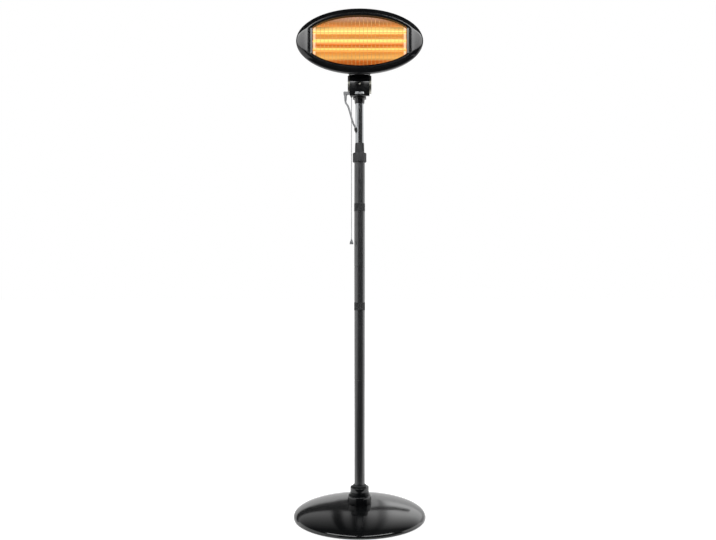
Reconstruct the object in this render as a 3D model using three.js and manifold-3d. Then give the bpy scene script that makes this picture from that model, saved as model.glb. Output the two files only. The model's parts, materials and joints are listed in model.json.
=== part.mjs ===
// Freestanding infrared patio heater: a domed weighted base, a pole of three screwed sections with a
// height adjuster, and a tilting oval head with three quartz tubes in a trough reflector.
// Millimetres, +Z up, the front faces -Y, and the origin is on the ground under the pole.
import * as THREE from 'three';
import { mergeVertices } from 'three/addons/utils/BufferGeometryUtils.js';
import Module from 'manifold-3d';

const wasm = await Module();
wasm.setup();

// ---- Clearances
const seatGap = 0.3; // between pieces that rest on each other
const slideGap = 0.3; // round a piece that turns or slides in another, on the radius

// ---- Base
const baseRadius = 250;
const baseRimHeight = 8; // height of the dome's rolled rim above the ground
const domeRise = 45; // from the rim to the flat crown
const crownRadius = 46; // flat that the flange stands on
const coverWall = 2.5;
const rimLift = 3; // the cover's lower edge stays off the ground
const footCount = 5;
const footRadius = 14;
const footCircle = 205;
const footHeight = 7;
const ballastRadius = 228;
const ballastMargin = 3; // round the cast, under the cover's slope
const clampBoltRadius = 6;
const clampRecessRadius = 20;
const clampRecessDepth = 14;
const clampWasherRadius = 18;
const clampWasherThickness = 2;
const clampHeadRadius = 10;
const clampHeadHeight = 7.5;
const clampBoltReach = 38; // length of thread inside the spigot
const spigotHeight = 44;
const spigotFlangeRadius = 25;
const spigotFlangeThickness = 3;

// ---- Stepped collar on the base
const flangeRadius = 44.5;
const flangeHeight = 31.5;
const flangeFillet = 4;
const collarRadius = 35.5;
const collarHeight = 31;
const collarFillet = 3;
const ringRadius = 25.3;
const ringHeight = 7;

// ---- Pole
const poleRadius = 20;
const poleWall = 1.5;
const sectionLength = 430; // one of the three equal sections, seam to seam
const firstSeamHeight = 519;
const poleTopRise = 415; // from the upper seam to the open top end
const couplerLength = 70;
const couplerWall = 1.8;
const bandHeight = 29;
const bandThickness = 0.8;
const bandTabAngle = 70; // degrees of overlap at the back
const lowerBandHeight = 785;
const upperBandHeight = 1160;
const poleScrewHeight = 131;
const poleScrewRadius = 3;
const outletHeight = 165;

// ---- Height adjuster
const colletSkirt = 31; // depth inside the pole
const colletFlangeHeight = 5.5;
const colletRise = 48; // above the flange
const colletNeckRadius = 18.2;
const colletTipRadius = 17;
const lockRadius = 26;
const lockHeight = 34;
const lockDrop = 18; // below the pole's top end
const lockRibs = 14;
const lockRibDepth = 1.1;
const lockEdge = 1.5;

// ---- Upper tube
const tubeRadius = 16;
const tubeWall = 1.2;
const tubeShown = 149.4; // chromed length between the collet and the socket, at the photographed height
const tubeFootSpare = 35.7; // left above the upper coupler when the tube is fully down
const slideDown = 30; // from the photographed height
const tubeTopReach = 21.5; // into the control box
const bushHeight = 30;
const bushLip = 3;
const socketRadius = 25.5;
const socketHeight = 5.2; // of its rim, at the front
const socketNeckRadius = 19.2;
const socketNeckHeight = 9.3;
const socketTaperHeight = 8.2;
const socketTipRadius = 17.6;

// ---- Control box, whose round top is centred on the tilt axis
const boxWidth = 74;
const boxRadius = 38;
const boxDrop = 49.5; // from the tilt axis to the lowest point, at the front
const boxRake = THREE.MathUtils.degToRad(14); // rise of the underside towards the back
const boxFrontCorner = 9;
const boxRearCorner = 10;
const boxEdge = 2;
const boxWall = 2.5;
const coverDepth = 13; // of the front cover
const coverScrewRadius = 1.6;
const coverScrewReach = 6; // into its post behind the cover
const coverScrewRise = 44; // above the box's lowest point
const coverPostRadius = 3.6;
const postRib = 3; // thickness of the rib under the post
const undersideDepth = 20; // that the underside rises within, wall included
const cableBossReach = 23.5; // sideways from the box wall
const cableBossDepth = 16;
const cableBossHeight = 10;
const cableBossRise = 6.5; // above the box's lowest point
const cableBossRoot = 2; // of the boss outside the wall that joins it
const bootTopRadius = 6.2;
const bootTipRadius = 4.4;
const bootLength = 24;
const bootCap = 3; // height of the boot's collar

// ---- Mains lead, from the boot into the upper tube
const leadDiameter = 7;
const grommetRadius = 6.6;
const grommetReach = 9; // of the grommet's snout, along the lead
const leadDrops = [ // across, back, and down from the control box's lowest point
  [-53.0, -26.0, 18.6], [-52.6, -26.0, 22.5], [-50.6, -26.2, 27.5], [-47.2, -26.4, 32.0], [-43.9, -26.5, 37.5],
  [-41.3, -26.6, 44.0], [-39.0, -26.6, 51.0], [-36.9, -26.5, 58.0], [-34.8, -26.3, 65.5], [-32.7, -25.9, 73.0],
  [-30.6, -25.2, 80.5], [-28.4, -24.0, 88.0], [-26.1, -22.2, 95.0], [-23.0, -19.0, 102.5], [-18.6, -14.7, 110.6],
  [-15.7, -12.2, 117.6], [-12.8, -9.6, 124.6], [-9.9, -7.0, 131.6],
];

// ---- Pull cord
const pullX = -30.5;
const pullY = -18;
const pullCordDiameter = 2.5;
const pullCordLength = 533.5; // from the ferrule's mouth to the knob
const pullTravel = 10;
const pullSlack = 4;
const ferruleRadius = 3.6;
const ferruleLip = 1.6;
const ferruleLipHeight = 2.4;
const ferruleDrop = 3; // of its mouth below the box's lowest point
const ferruleRise = 4; // above the underside's wall
const knobRadius = 7.6;
const knobHeight = 20;
const switchSide = 3.6; // from the cord to the switch's outer side
const switchFront = 3; // from the cord to the switch's front
const switchWidth = 17;
const switchDepth = 22;
const switchHeight = 30;
const plungerRadius = 2.4;
const plungerHeight = 6;

// ---- Tilt bracket
const armThickness = 3;
const armRadius = 34;
const armRimDepth = 7.2; // of the cheek's turned-out edge, from its inner face
const armTopDepth = 30;
const armTopCorner = 12;
const bracketFoot = 38.3; // lower edge of the web, above the tilt axis
const bracketHeight = 93.7;
const bracketScrewHeight = 104;
const tiltBoltRadius = 4;
const tiltHeadRadius = 11;
const tiltHeadHeight = 4;
const tiltBoltReach = 14; // inside the box wall
const bracketScrewRadius = 2.4;
const bracketScrewHead = 4.6;
const bracketScrewSpread = 24;

// ---- Head, in its own frame: the origin is on the tilt axis
const headRise = 142; // from the tilt axis to the oval's centre
const ovalHalfWidth = 236;
const ovalHalfHeight = 120.5;
const frontPlane = -90;
const bezelDepth = 14;
const bezelWall = 3;
const bezelCrown = 1.5;
const bezelRound = 6;
const bezelPillow = 9.5; // from the rim's front to the front plane
const openingHalfWidth = 174; // straight upright sides
const openingOvalWidth = 203;
const openingOvalHeight = 92;
const lipDepth = 16;
const shellDepth = 67.7;
const shellWall = 2.5;
const shellBackShare = 0.6;
const shellFullness = 2;
const ventRows = 2;
const ventColumns = 7;
const ventPitch = 20;
const ventRowPitch = 24;
const ventWidth = 8;
const ventHeight = 17;
const ventTop = 52; // of the upper row, above the oval's centre
const housingScrewSpread = 108;

// ---- Reflector and quartz tubes
const reflectorSheet = 1.2;
const reflectorMouth = 94.5; // half height at the front edge
const reflectorFloor = 62; // half height of the flat back
const reflectorDepth = 27.5;
const reflectorFlare = 9; // of each end plate, front to back
const quartzRadius = 5.5;
const quartzWall = 1.2;
const quartzPitch = 33;
const quartzRise = 4.9;
const quartzForward = 19; // from the reflector's back to the tubes' centre line
const coilRadius = 2.2;
const holderThickness = 16;
const holderHeight = 92;
const holderDepth = 20;
const holderSeat = 8; // of each tube in its holder
const coilSeat = 4;

// ---- Wire guard
const guardWireRadius = 0.8;
const guardFrameRadius = 1;
const guardRailSet = 1.2; // of the rails behind the upright wires
const guardPitch = 14.5;
const guardRailRows = 2;
const guardRailPitch = 66;

// ---- Number of facets round a full turn
const domeSides = 36;
const roundSides = 20;
const smallSides = 10;
const screwSides = 8;
const wireSides = 4;

// ---- Places that follow from the sizes above
const crownHeight = baseRimHeight + domeRise;
const spigotFoot = crownHeight + seatGap;
const poleFoot = spigotFoot + spigotFlangeThickness + seatGap;
const flangeTop = crownHeight + seatGap + flangeHeight;
const collarTop = flangeTop + collarHeight;
const secondSeamHeight = firstSeamHeight + sectionLength + seatGap;
const poleTop = secondSeamHeight + poleTopRise;
const poleBore = poleRadius - poleWall;
const colletTop = poleTop + seatGap + colletFlangeHeight + colletRise;
const tubeFootHeight = secondSeamHeight + couplerLength / 2 + slideDown + tubeFootSpare;
const socketFoot = colletTop + tubeShown;
const socketNeckTop = socketFoot + socketTaperHeight + socketNeckHeight;
const boxFoot = socketNeckTop + socketHeight + seatGap;
const tiltHeight = boxFoot + boxDrop;
const cableBossFoot = boxFoot + cableBossRise;
const bootTip = cableBossFoot - seatGap - bootLength;
const leadRoute = leadDrops.map(([x, y, drop]) => [x, y, boxFoot - drop]);
const tubeTop = boxFoot + tubeTopReach;
const leadRadius = leadDiameter / 2;
const ferruleMouth = boxFoot - ferruleDrop;
const armInside = boxWidth / 2 + seatGap;
const shellFront = frontPlane + bezelDepth + seatGap;
const shellBack = shellFront + shellDepth;
const webFront = shellBack + seatGap;
const lipBack = frontPlane + lipDepth;
const reflectorFront = lipBack + seatGap;
const reflectorBack = reflectorFront + reflectorDepth;
const quartzY = reflectorBack - quartzForward;

// ---- Finishes
const finish = (color, roughness, metalness) => new THREE.MeshStandardMaterial({ color, roughness, metalness });
const glossBlack = finish(0x17181a, 0.18, 0);
const satinBlack = finish(0x1d1e20, 0.38, 0.2);
const matteBlack = finish(0x202123, 0.65, 0);
const rubberBlack = finish(0x161616, 0.85, 0);
const chrome = finish(0xd8dadd, 0.1, 1);
const steel = finish(0x9a9c9e, 0.4, 1);
const brightSheet = finish(0xd9c8a8, 0.2, 1);
const quartzGlass = finish(0xffc76e, 0.15, 0);
const glowingCoil = finish(0xff8a2c, 0.6, 0);
const ceramic = finish(0xe8e2d6, 0.7, 0);
const cordGrey = finish(0xb9bbbd, 0.6, 0);
const sheathGrey = finish(0x6f7072, 0.7, 0);
const concrete = finish(0x8b8984, 0.9, 0);

// ---- Geometry helpers

// Turns a closed geometry so that its faces point out.
function outward(geometry) {
  const merged = geometry.clone();
  for (const name of Object.keys(merged.attributes)) {
    if (name !== 'position') merged.deleteAttribute(name);
  }
  const welded = mergeVertices(merged, 1e-4);
  const position = welded.attributes.position;
  const corners = [];
  let volume = 0;
  for (let i = 0; i < welded.index.count; i += 3) {
    const [a, b, c] = [0, 1, 2].map((k) => welded.index.getX(i + k));
    if (a === b || b === c || c === a) continue;
    const [p, q, r] = [a, b, c].map((k) => new THREE.Vector3().fromBufferAttribute(position, k));
    volume += p.dot(q.cross(r));
    corners.push(a, b, c);
  }
  if (volume < 0) corners.reverse();
  welded.setIndex(corners);
  return welded;
}

// Manifold solid of a closed geometry.
function solid(geometry) {
  const closed = outward(geometry);
  return new wasm.Manifold(new wasm.Mesh({
    numProp: 3,
    vertProperties: new Float32Array(closed.attributes.position.array),
    triVerts: new Uint32Array(closed.index.array),
  }));
}

// Geometry of a manifold solid.
function surface(body) {
  const mesh = body.getMesh();
  const geometry = new THREE.BufferGeometry();
  geometry.setAttribute('position', new THREE.BufferAttribute(new Float32Array(mesh.vertProperties), 3));
  geometry.setIndex(Array.from(mesh.triVerts));
  return geometry;
}

// The first geometry with all the others cut from it.
function cut(geometry, ...tools) {
  return surface(tools.reduce((body, tool) => body.subtract(solid(tool)), solid(geometry)));
}

// All the geometries joined.
function join(geometry, ...others) {
  return surface(others.reduce((body, other) => body.add(solid(other)), solid(geometry)));
}

// What the geometries have in common.
function common(geometry, ...others) {
  return surface(others.reduce((body, other) => body.intersect(solid(other)), solid(geometry)));
}

// Solid of revolution about Z from [radius, height] points; off the axis the profile closes on itself.
function revolve(profile, sides = roundSides) {
  const points = profile.map(([radius, height]) => new THREE.Vector2(radius, height));
  const onAxis = points[0].x === 0 && points.at(-1).x === 0;
  if (!onAxis) points.push(points[0].clone());
  return outward(new THREE.LatheGeometry(points, sides).rotateX(Math.PI / 2));
}

// Quarter arc for a profile, from one angle to another, in degrees.
function arc(centreRadius, centreHeight, radius, from, to, steps = 2) {
  return Array.from({ length: steps + 1 }, (_, i) => {
    const angle = THREE.MathUtils.degToRad(from + ((to - from) * i) / steps);
    return [centreRadius + radius * Math.cos(angle), centreHeight + radius * Math.sin(angle)];
  });
}

// Ring with a bore, between two heights.
function tube(outer, inner, foot, top, sides = roundSides) {
  return revolve([[inner, foot], [outer, foot], [outer, top], [inner, top]], sides);
}

// Round bar from one point to another.
function bar(from, to, radius, sides = smallSides) {
  const start = new THREE.Vector3(...from);
  const end = new THREE.Vector3(...to);
  const length = start.distanceTo(end);
  const turn = new THREE.Quaternion().setFromUnitVectors(
    new THREE.Vector3(0, 1, 0), end.clone().sub(start).normalize());
  return new THREE.CylinderGeometry(radius, radius, length, sides)
    .applyQuaternion(turn)
    .translate(...start.add(end).multiplyScalar(0.5).toArray());
}

// Box between two corners.
function block(low, high) {
  const size = high.map((value, i) => value - low[i]);
  return new THREE.BoxGeometry(...size).translate(...low.map((value, i) => value + size[i] / 2));
}

// Prism of a shape drawn in Y and Z, between two places along X.
function prismAlongX(shape, from, to, bevel = 0) {
  const geometry = new THREE.ExtrudeGeometry(shape, {
    depth: to - from - 2 * bevel, bevelEnabled: bevel > 0, bevelThickness: bevel, bevelSize: bevel,
    bevelOffset: -bevel, bevelSegments: 1, curveSegments: 8,
  });
  const axes = new THREE.Matrix4().makeBasis(
    new THREE.Vector3(0, 1, 0), new THREE.Vector3(0, 0, 1), new THREE.Vector3(1, 0, 0));
  return geometry.applyMatrix4(axes).translate(from + bevel, 0, 0);
}

// Prism of a shape drawn in X and Z, between two places along Y.
function prismAlongY(shape, from, to) {
  return new THREE.ExtrudeGeometry(shape, { depth: to - from, bevelEnabled: false, curveSegments: 24 })
    .rotateX(Math.PI / 2)
    .translate(0, to, 0);
}

// Closed surface through rings of as many points each, which meet end to end or are capped.
function loft(rings, endless = false) {
  const count = rings[0].length;
  const vertices = rings.flat();
  const triangles = [];
  const last = endless ? rings.length : rings.length - 1;
  for (let i = 0; i < last; i++) {
    const near = i * count;
    const far = ((i + 1) % rings.length) * count;
    for (let j = 0; j < count; j++) {
      const next = (j + 1) % count;
      triangles.push(near + j, near + next, far + next, near + j, far + next, far + j);
    }
  }
  if (!endless) {
    for (const [ring, first, flip] of [[rings[0], 0, true], [rings.at(-1), (rings.length - 1) * count, false]]) {
      const centre = new THREE.Vector3();
      for (const point of ring) centre.addScaledVector(point, 1 / count);
      vertices.push(centre);
      for (let j = 0; j < count; j++) {
        const next = (j + 1) % count;
        const pair = flip ? [first + next, first + j] : [first + j, first + next];
        triangles.push(...pair, vertices.length - 1);
      }
    }
  }
  const geometry = new THREE.BufferGeometry().setFromPoints(vertices);
  geometry.setIndex(triangles);
  return outward(geometry);
}

// Screw or bolt along Z: the head's underside is at the origin and the shank points down.
function screw(headRadius, headHeight, shankRadius, reach) {
  return revolve([
    [0, -reach], [shankRadius, -reach], [shankRadius, 0], [headRadius, 0],
    [headRadius, headHeight * 0.4], [headRadius - headHeight * 0.6, headHeight], [0, headHeight],
  ], screwSides);
}

// Tube of a flexible cord along a smooth curve through the points.
function cordTube(route, diameter, sides, steps) {
  const path = new THREE.CatmullRomCurve3(route.map((point) => new THREE.Vector3(...point)));
  const section = new THREE.Shape();
  for (let i = 0; i < sides; i++) {
    const angle = (2 * Math.PI * i) / sides;
    const [x, y] = [Math.cos(angle) * diameter / 2, Math.sin(angle) * diameter / 2];
    if (i === 0) section.moveTo(x, y);
    else section.lineTo(x, y);
  }
  section.closePath();
  return new THREE.ExtrudeGeometry(section, { steps, extrudePath: path, bevelEnabled: false });
}

// Names a piece and gives it its finish.
function piece(group, name, geometry, material) {
  const mesh = new THREE.Mesh(outward(geometry), material);
  mesh.name = name;
  group.add(mesh);
  return mesh;
}

// ---- Base

// Points of the elliptical dome from a radius up to the crown, inside the outer surface by an offset.
function domeProfile(offset, fromRadius, steps) {
  const width = baseRadius - crownRadius - offset;
  const start = Math.asin(Math.min(1, (fromRadius - crownRadius) / width));
  return Array.from({ length: steps + 1 }, (_, i) => {
    const angle = start * (1 - i / steps);
    return [crownRadius + width * Math.sin(angle), baseRimHeight + (domeRise - offset) * Math.cos(angle)];
  });
}

function baseCover(group) {
  const steps = 6;
  const inner = baseRadius - coverWall;
  const outside = [[baseRadius, rimLift], ...domeProfile(0, baseRadius, steps)];
  const inside = [...domeProfile(coverWall, inner, steps).reverse(), [inner, rimLift]];
  const bolt = clampBoltRadius + 1;
  piece(group, 'base_cover',
    revolve([...outside, [bolt, crownHeight], [bolt, crownHeight - coverWall], ...inside], domeSides), glossBlack);
}

function baseBallast(group) {
  const bore = clampBoltRadius + 1;
  const recessTop = footHeight + clampRecessDepth;
  const land = crownHeight - coverWall - seatGap;
  piece(group, 'base_ballast', revolve([
    [bore, recessTop], [clampRecessRadius, recessTop], [clampRecessRadius, footHeight],
    [ballastRadius - 2, footHeight], ...domeProfile(coverWall + ballastMargin, ballastRadius, 4),
    [crownRadius - 4, land], [bore, land],
  ], roundSides), concrete);
  for (let i = 0; i < footCount; i++) {
    const foot = piece(group, `foot_${i + 1}`, revolve([
      [0, 0], [footRadius - 2, 0], [footRadius, 1.5], [footRadius - 2.5, footHeight - seatGap],
      [0, footHeight - seatGap],
    ], smallSides), rubberBlack);
    foot.position.set(footCircle, 0, 0).applyAxisAngle(new THREE.Vector3(0, 0, 1), (2 * Math.PI * (i + 0.5)) / footCount);
  }
}

function baseClamp(group) {
  const seat = footHeight + clampRecessDepth - seatGap;
  const washerFoot = seat - clampWasherThickness;
  const bore = clampBoltRadius + slideGap;
  piece(group, 'clamp_washer', tube(clampWasherRadius, bore, washerFoot, seat, smallSides), steel);
  const headTop = washerFoot - seatGap;
  const head = new THREE.CylinderGeometry(clampHeadRadius, clampHeadRadius, clampHeadHeight, 6)
    .rotateX(Math.PI / 2)
    .translate(0, 0, headTop - clampHeadHeight / 2);
  const shank = bar([0, 0, headTop - 1], [0, 0, spigotFoot + clampBoltReach], clampBoltRadius);
  piece(group, 'clamp_bolt', join(head, shank), steel);
  const spigotRadius = poleBore - seatGap;
  const flangeTopHeight = spigotFoot + spigotFlangeThickness;
  piece(group, 'base_spigot', revolve([
    [bore, spigotFoot], [spigotFlangeRadius, spigotFoot], [spigotFlangeRadius, flangeTopHeight],
    [spigotRadius, flangeTopHeight], [spigotRadius, spigotFoot + spigotHeight - 2],
    [spigotRadius - 2, spigotFoot + spigotHeight], [bore, spigotFoot + spigotHeight],
  ]), steel);
}

// The flange, collar and ring that step up from the dome to the pole.
function baseCollar(group) {
  const bore = poleRadius + seatGap;
  const foot = crownHeight + seatGap;
  const counterbore = spigotFlangeRadius + seatGap;
  const counterboreTop = poleFoot;
  piece(group, 'base_flange', revolve([
    [counterbore, foot], [flangeRadius, foot],
    ...arc(flangeRadius - flangeFillet, flangeTop - flangeFillet, flangeFillet, 0, 90),
    [bore, flangeTop], [bore, counterboreTop], [counterbore, counterboreTop],
  ]), glossBlack);
  piece(group, 'base_collar', revolve([
    [bore, flangeTop + seatGap], [collarRadius, flangeTop + seatGap],
    ...arc(collarRadius - collarFillet, collarTop - collarFillet, collarFillet, 0, 90),
    [bore, collarTop],
  ]), glossBlack);
  piece(group, 'collar_ring', revolve([
    [bore, collarTop + seatGap], [ringRadius, collarTop + seatGap],
    [ringRadius, collarTop + ringHeight - 1.5], [ringRadius - 1.5, collarTop + ringHeight],
    [bore, collarTop + ringHeight],
  ]), satinBlack);
}

// ---- Pole

// Rubber grommet along a line through a tube's wall, and the hole that it needs.
function grommet(entry, direction, wallRadius, bore, outerRadius, reach) {
  const axis = new THREE.Vector3(...direction).normalize();
  const along = (distance) => axis.clone().multiplyScalar(distance).add(new THREE.Vector3(...entry)).toArray();
  const neckRadius = bore + 1.2;
  const tall = entry[2] + 60;
  const low = entry[2] - 60;
  const snout = cut(bar(along(-reach), along(reach), outerRadius), bar([0, 0, low], [0, 0, tall], wallRadius + seatGap, roundSides));
  const neck = bar(along(-reach + 1), along(5), neckRadius);
  const passage = bar(along(-2 * reach - 20), along(2 * reach + 20), bore);
  const hole = bar(along(-reach - 5), along(14), neckRadius + seatGap);
  return { geometry: cut(join(snout, neck), passage), hole };
}

function pole(group) {
  const outletBore = leadRadius + slideGap;
  const outletRadius = grommetRadius;
  const outlet = grommet([0, poleRadius, outletHeight], [0, -1, 0], poleRadius, outletBore, outletRadius, 4);
  const screwHole = bar([0, -poleRadius - 5, poleScrewHeight], [0, 0, poleScrewHeight], poleScrewRadius + seatGap);
  piece(group, 'pole_bottom', cut(tube(poleRadius, poleBore, poleFoot, firstSeamHeight), outlet.hole, screwHole), satinBlack);
  piece(group, 'outlet_grommet', outlet.geometry, rubberBlack);
  const seam = firstSeamHeight + seatGap;
  piece(group, 'pole_middle', tube(poleRadius, poleBore, seam, secondSeamHeight - seatGap), satinBlack);
  piece(group, 'pole_top', tube(poleRadius, poleBore, secondSeamHeight, poleTop), satinBlack);
  const sleeve = poleBore - seatGap;
  for (const [name, height] of [['lower_coupler', firstSeamHeight], ['upper_coupler', secondSeamHeight]]) {
    piece(group, name,
      tube(sleeve, sleeve - couplerWall, height - couplerLength / 2, height + couplerLength / 2), steel);
  }
  const lockScrew = piece(group, 'pole_screw', screw(poleScrewRadius + 2, 2.4, poleScrewRadius, poleWall + 3), satinBlack);
  lockScrew.rotation.x = Math.PI / 2;
  lockScrew.position.set(0, -poleRadius - seatGap, poleScrewHeight);
}

// Strap round the pole that can hold a lead, with its loose end lapped at the back.
function poleBand(group, name, foot) {
  const inner = poleRadius + seatGap;
  const outer = inner + bandThickness;
  const lapHalf = THREE.MathUtils.degToRad(bandTabAngle / 2);
  const lap = new THREE.Shape();
  lap.absarc(0, 0, outer + bandThickness, Math.PI / 2 - lapHalf, Math.PI / 2 + lapHalf, false);
  lap.absarc(0, 0, outer - bandThickness / 2, Math.PI / 2 + lapHalf, Math.PI / 2 - lapHalf, true);
  const tab = new THREE.ExtrudeGeometry(lap, { depth: bandHeight - 2, bevelEnabled: false, curveSegments: 6 })
    .translate(0, 0, foot + 1);
  piece(group, name, join(tube(outer, inner, foot, foot + bandHeight), tab), matteBlack);
}

// Slotted collet in the pole's open end, tapered round the upper tube.
function collet(group) {
  const bore = tubeRadius + slideGap;
  const skirt = poleBore - seatGap;
  const flangeFoot = poleTop + seatGap;
  const flangeTopHeight = flangeFoot + colletFlangeHeight;
  piece(group, 'collet', revolve([
    [bore, poleTop - colletSkirt], [skirt, poleTop - colletSkirt], [skirt, flangeFoot],
    [poleRadius, flangeFoot], [poleRadius, flangeTopHeight], [colletNeckRadius, flangeTopHeight],
    [colletNeckRadius, flangeTopHeight + 8], [colletTipRadius, colletTop - 2], [colletTipRadius - 0.4, colletTop],
    [bore, colletTop],
  ]), matteBlack);
}

// Ribbed collar that turns to clamp the collet.
function lockCollar(group) {
  const foot = poleTop - lockDrop;
  const top = foot + lockHeight;
  const lipFoot = poleTop + seatGap + colletFlangeHeight + slideGap;
  const grip = new THREE.Shape();
  const points = lockRibs * 4;
  for (let i = 0; i < points; i++) {
    const angle = (2 * Math.PI * i) / points;
    const radius = lockRadius - (lockRibDepth / 2) * (1 - Math.cos(lockRibs * angle));
    if (i === 0) grip.moveTo(radius, 0);
    else grip.lineTo(radius * Math.cos(angle), radius * Math.sin(angle));
  }
  const body = new THREE.ExtrudeGeometry(grip, {
    depth: lockHeight - 2 * lockEdge, bevelEnabled: true, bevelThickness: lockEdge, bevelSize: lockEdge,
    bevelOffset: -lockEdge, bevelSegments: 1,
  }).translate(0, 0, foot + lockEdge);
  const bore = tube(poleRadius + slideGap, 1, foot - 1, lipFoot);
  const mouth = tube(colletNeckRadius + slideGap, 0.5, foot - 1, top + 1);
  const core = bar([0, 0, foot - 2], [0, 0, top + 2], 2);
  piece(group, 'lock_collar', cut(body, bore, mouth, core), matteBlack);
}

// ---- Upper tube

function upperTube(group) {
  const end = leadRoute.at(-1);
  const before = leadRoute.at(-3);
  const direction = end.map((value, i) => value - before[i]);
  const entry = leadRoute.at(-2);
  const entryGrommet = grommet(entry, direction, tubeRadius, leadRadius + slideGap, grommetRadius, grommetReach);
  piece(group, 'upper_tube',
    cut(tube(tubeRadius, tubeRadius - tubeWall, tubeFootHeight, tubeTop), entryGrommet.hole), chrome);
  piece(group, 'tube_grommet', entryGrommet.geometry, rubberBlack);
  const bushOuter = poleBore - slideGap;
  const bushInner = tubeRadius - tubeWall - bushLip;
  piece(group, 'guide_bush', revolve([
    [bushInner, tubeFootHeight - 4], [bushOuter, tubeFootHeight - 4],
    [bushOuter, tubeFootHeight + bushHeight - 4], [tubeRadius + seatGap, tubeFootHeight + bushHeight - 4],
    [tubeRadius + seatGap, tubeFootHeight - seatGap], [bushInner, tubeFootHeight - seatGap],
  ]), matteBlack);
  const bore = tubeRadius + seatGap;
  const rimTop = underside(socketRadius);
  const socket = revolve([
    [bore, socketFoot], [socketTipRadius, socketFoot], [socketNeckRadius, socketFoot + socketTaperHeight],
    [socketNeckRadius, socketNeckTop], [socketRadius - 2, socketNeckTop], [socketRadius, socketNeckTop + 2],
    [socketRadius, rimTop], [bore, rimTop],
  ]);
  piece(group, 'tube_socket', cut(socket, aboveUnderside(seatGap / Math.cos(boxRake))), glossBlack);
}

// Height of the box's sloping underside at a place along Y.
function underside(y) {
  const corner = boxFrontCorner;
  return boxFoot + corner - corner / Math.cos(boxRake) + (y + boxRadius - corner) * Math.tan(boxRake);
}

// Everything above a plane that runs below the underside by a gap.
function aboveUnderside(gap) {
  const far = 2 * boxWidth;
  return block([-far, -far, 0], [far, far, far]).rotateX(boxRake).translate(0, 0, underside(0) - gap);
}

// ---- Control box

// Outline of the box seen from the side, round at the top and rounded at the lower corners.
function boxOutline(inset) {
  const rearY = boxRadius - boxRearCorner;
  const rearZ = underside(rearY) + boxRearCorner / Math.cos(boxRake);
  const turn = 1.5 * Math.PI + boxRake;
  const outline = new THREE.Shape();
  outline.absarc(0, tiltHeight, boxRadius - inset, 0, Math.PI, false);
  outline.absarc(boxFrontCorner - boxRadius, boxFoot + boxFrontCorner, boxFrontCorner - inset, Math.PI, turn, false);
  outline.absarc(rearY, rearZ, boxRearCorner - inset, turn, 2 * Math.PI, false);
  outline.closePath();
  return outline;
}

function controlBox(group) {
  const half = boxWidth / 2;
  const parting = -boxRadius + coverDepth;
  const outside = prismAlongX(boxOutline(0), -half, half, boxEdge);
  const inside = prismAlongX(boxOutline(boxWall), -half + boxWall, half - boxWall);
  const hollow = cut(outside, inside);
  const far = 200;
  const behind = block([-far, parting + seatGap / 2, 0], [far, far, 2 * tiltHeight]);
  const before = block([-far, -far, 0], [far, parting - seatGap / 2, 2 * tiltHeight]);

  const bossY = leadRoute[0][1];
  const bossBack = bossY + cableBossDepth / 2;
  const boss = block([-half - cableBossReach, bossY - cableBossDepth / 2, cableBossFoot],
    [-half - seatGap, bossBack, cableBossFoot + cableBossHeight]);
  const root = block([-half - cableBossRoot, parting + seatGap / 2, cableBossFoot],
    [-half + boxWall, bossBack, cableBossFoot + cableBossHeight]);
  const through = (x, y, radius, sides) => bar([x, y, boxFoot - 5], [x, y, boxFoot + undersideDepth],
    radius + seatGap, sides);
  const tubeHole = through(0, 0, tubeRadius, roundSides);
  const ferruleHole = through(pullX, pullY, ferruleRadius, smallSides);
  const axle = bar([-far, 0, tiltHeight], [far, 0, tiltHeight], tiltBoltRadius + slideGap);
  const screwHeight = boxFoot + coverScrewRise;
  const postEnd = -tubeRadius - 1;
  const post = bar([0, parting + seatGap / 2, screwHeight], [0, postEnd, screwHeight], coverPostRadius);
  const rib = block([-postRib / 2, parting + seatGap / 2, underside(postEnd) + 0.5], [postRib / 2, postEnd, screwHeight]);
  const pilot = bar([0, -boxRadius - 5, screwHeight], [0, parting + coverScrewReach + 1, screwHeight],
    coverScrewRadius + seatGap);
  const rearHalf = join(common(hollow, behind), boss, root, post, rib);
  piece(group, 'box_rear', cut(rearHalf, tubeHole, ferruleHole, axle, pilot), glossBlack);
  piece(group, 'box_front', cut(common(hollow, before), pilot), glossBlack);
  const fastener = piece(group, 'cover_screw',
    screw(coverScrewRadius + 1.6, 1.4, coverScrewRadius, coverDepth + coverScrewReach), steel);
  fastener.rotation.x = Math.PI / 2;
  fastener.position.set(0, -boxRadius - seatGap, screwHeight);
}

// Tapered strain relief under the cable boss.
function leadBoot(group) {
  const top = cableBossFoot - seatGap;
  const boot = piece(group, 'lead_boot', revolve([
    [0, bootTip], [bootTipRadius, bootTip], [bootTopRadius - 0.6, top - bootCap * 1.6],
    [bootTopRadius + 1, top - bootCap], [bootTopRadius + 1, top], [0, top],
  ], smallSides), rubberBlack);
  boot.position.set(leadRoute[0][0], leadRoute[0][1], 0);
}

function tiltBolts(group) {
  const half = boxWidth / 2;
  for (const [name, side] of [['left', -1], ['right', 1]]) {
    const headSeat = half + armThickness + 2 * seatGap;
    const reach = headSeat - half + boxWall + tiltBoltReach;
    const bolt = piece(group, `tilt_bolt_${name}`, screw(tiltHeadRadius, tiltHeadHeight, tiltBoltRadius, reach), satinBlack);
    bolt.rotation.y = side * Math.PI / 2;
    bolt.position.set(side * headSeat, 0, tiltHeight);
  }
}

// ---- Pull switch

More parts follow.
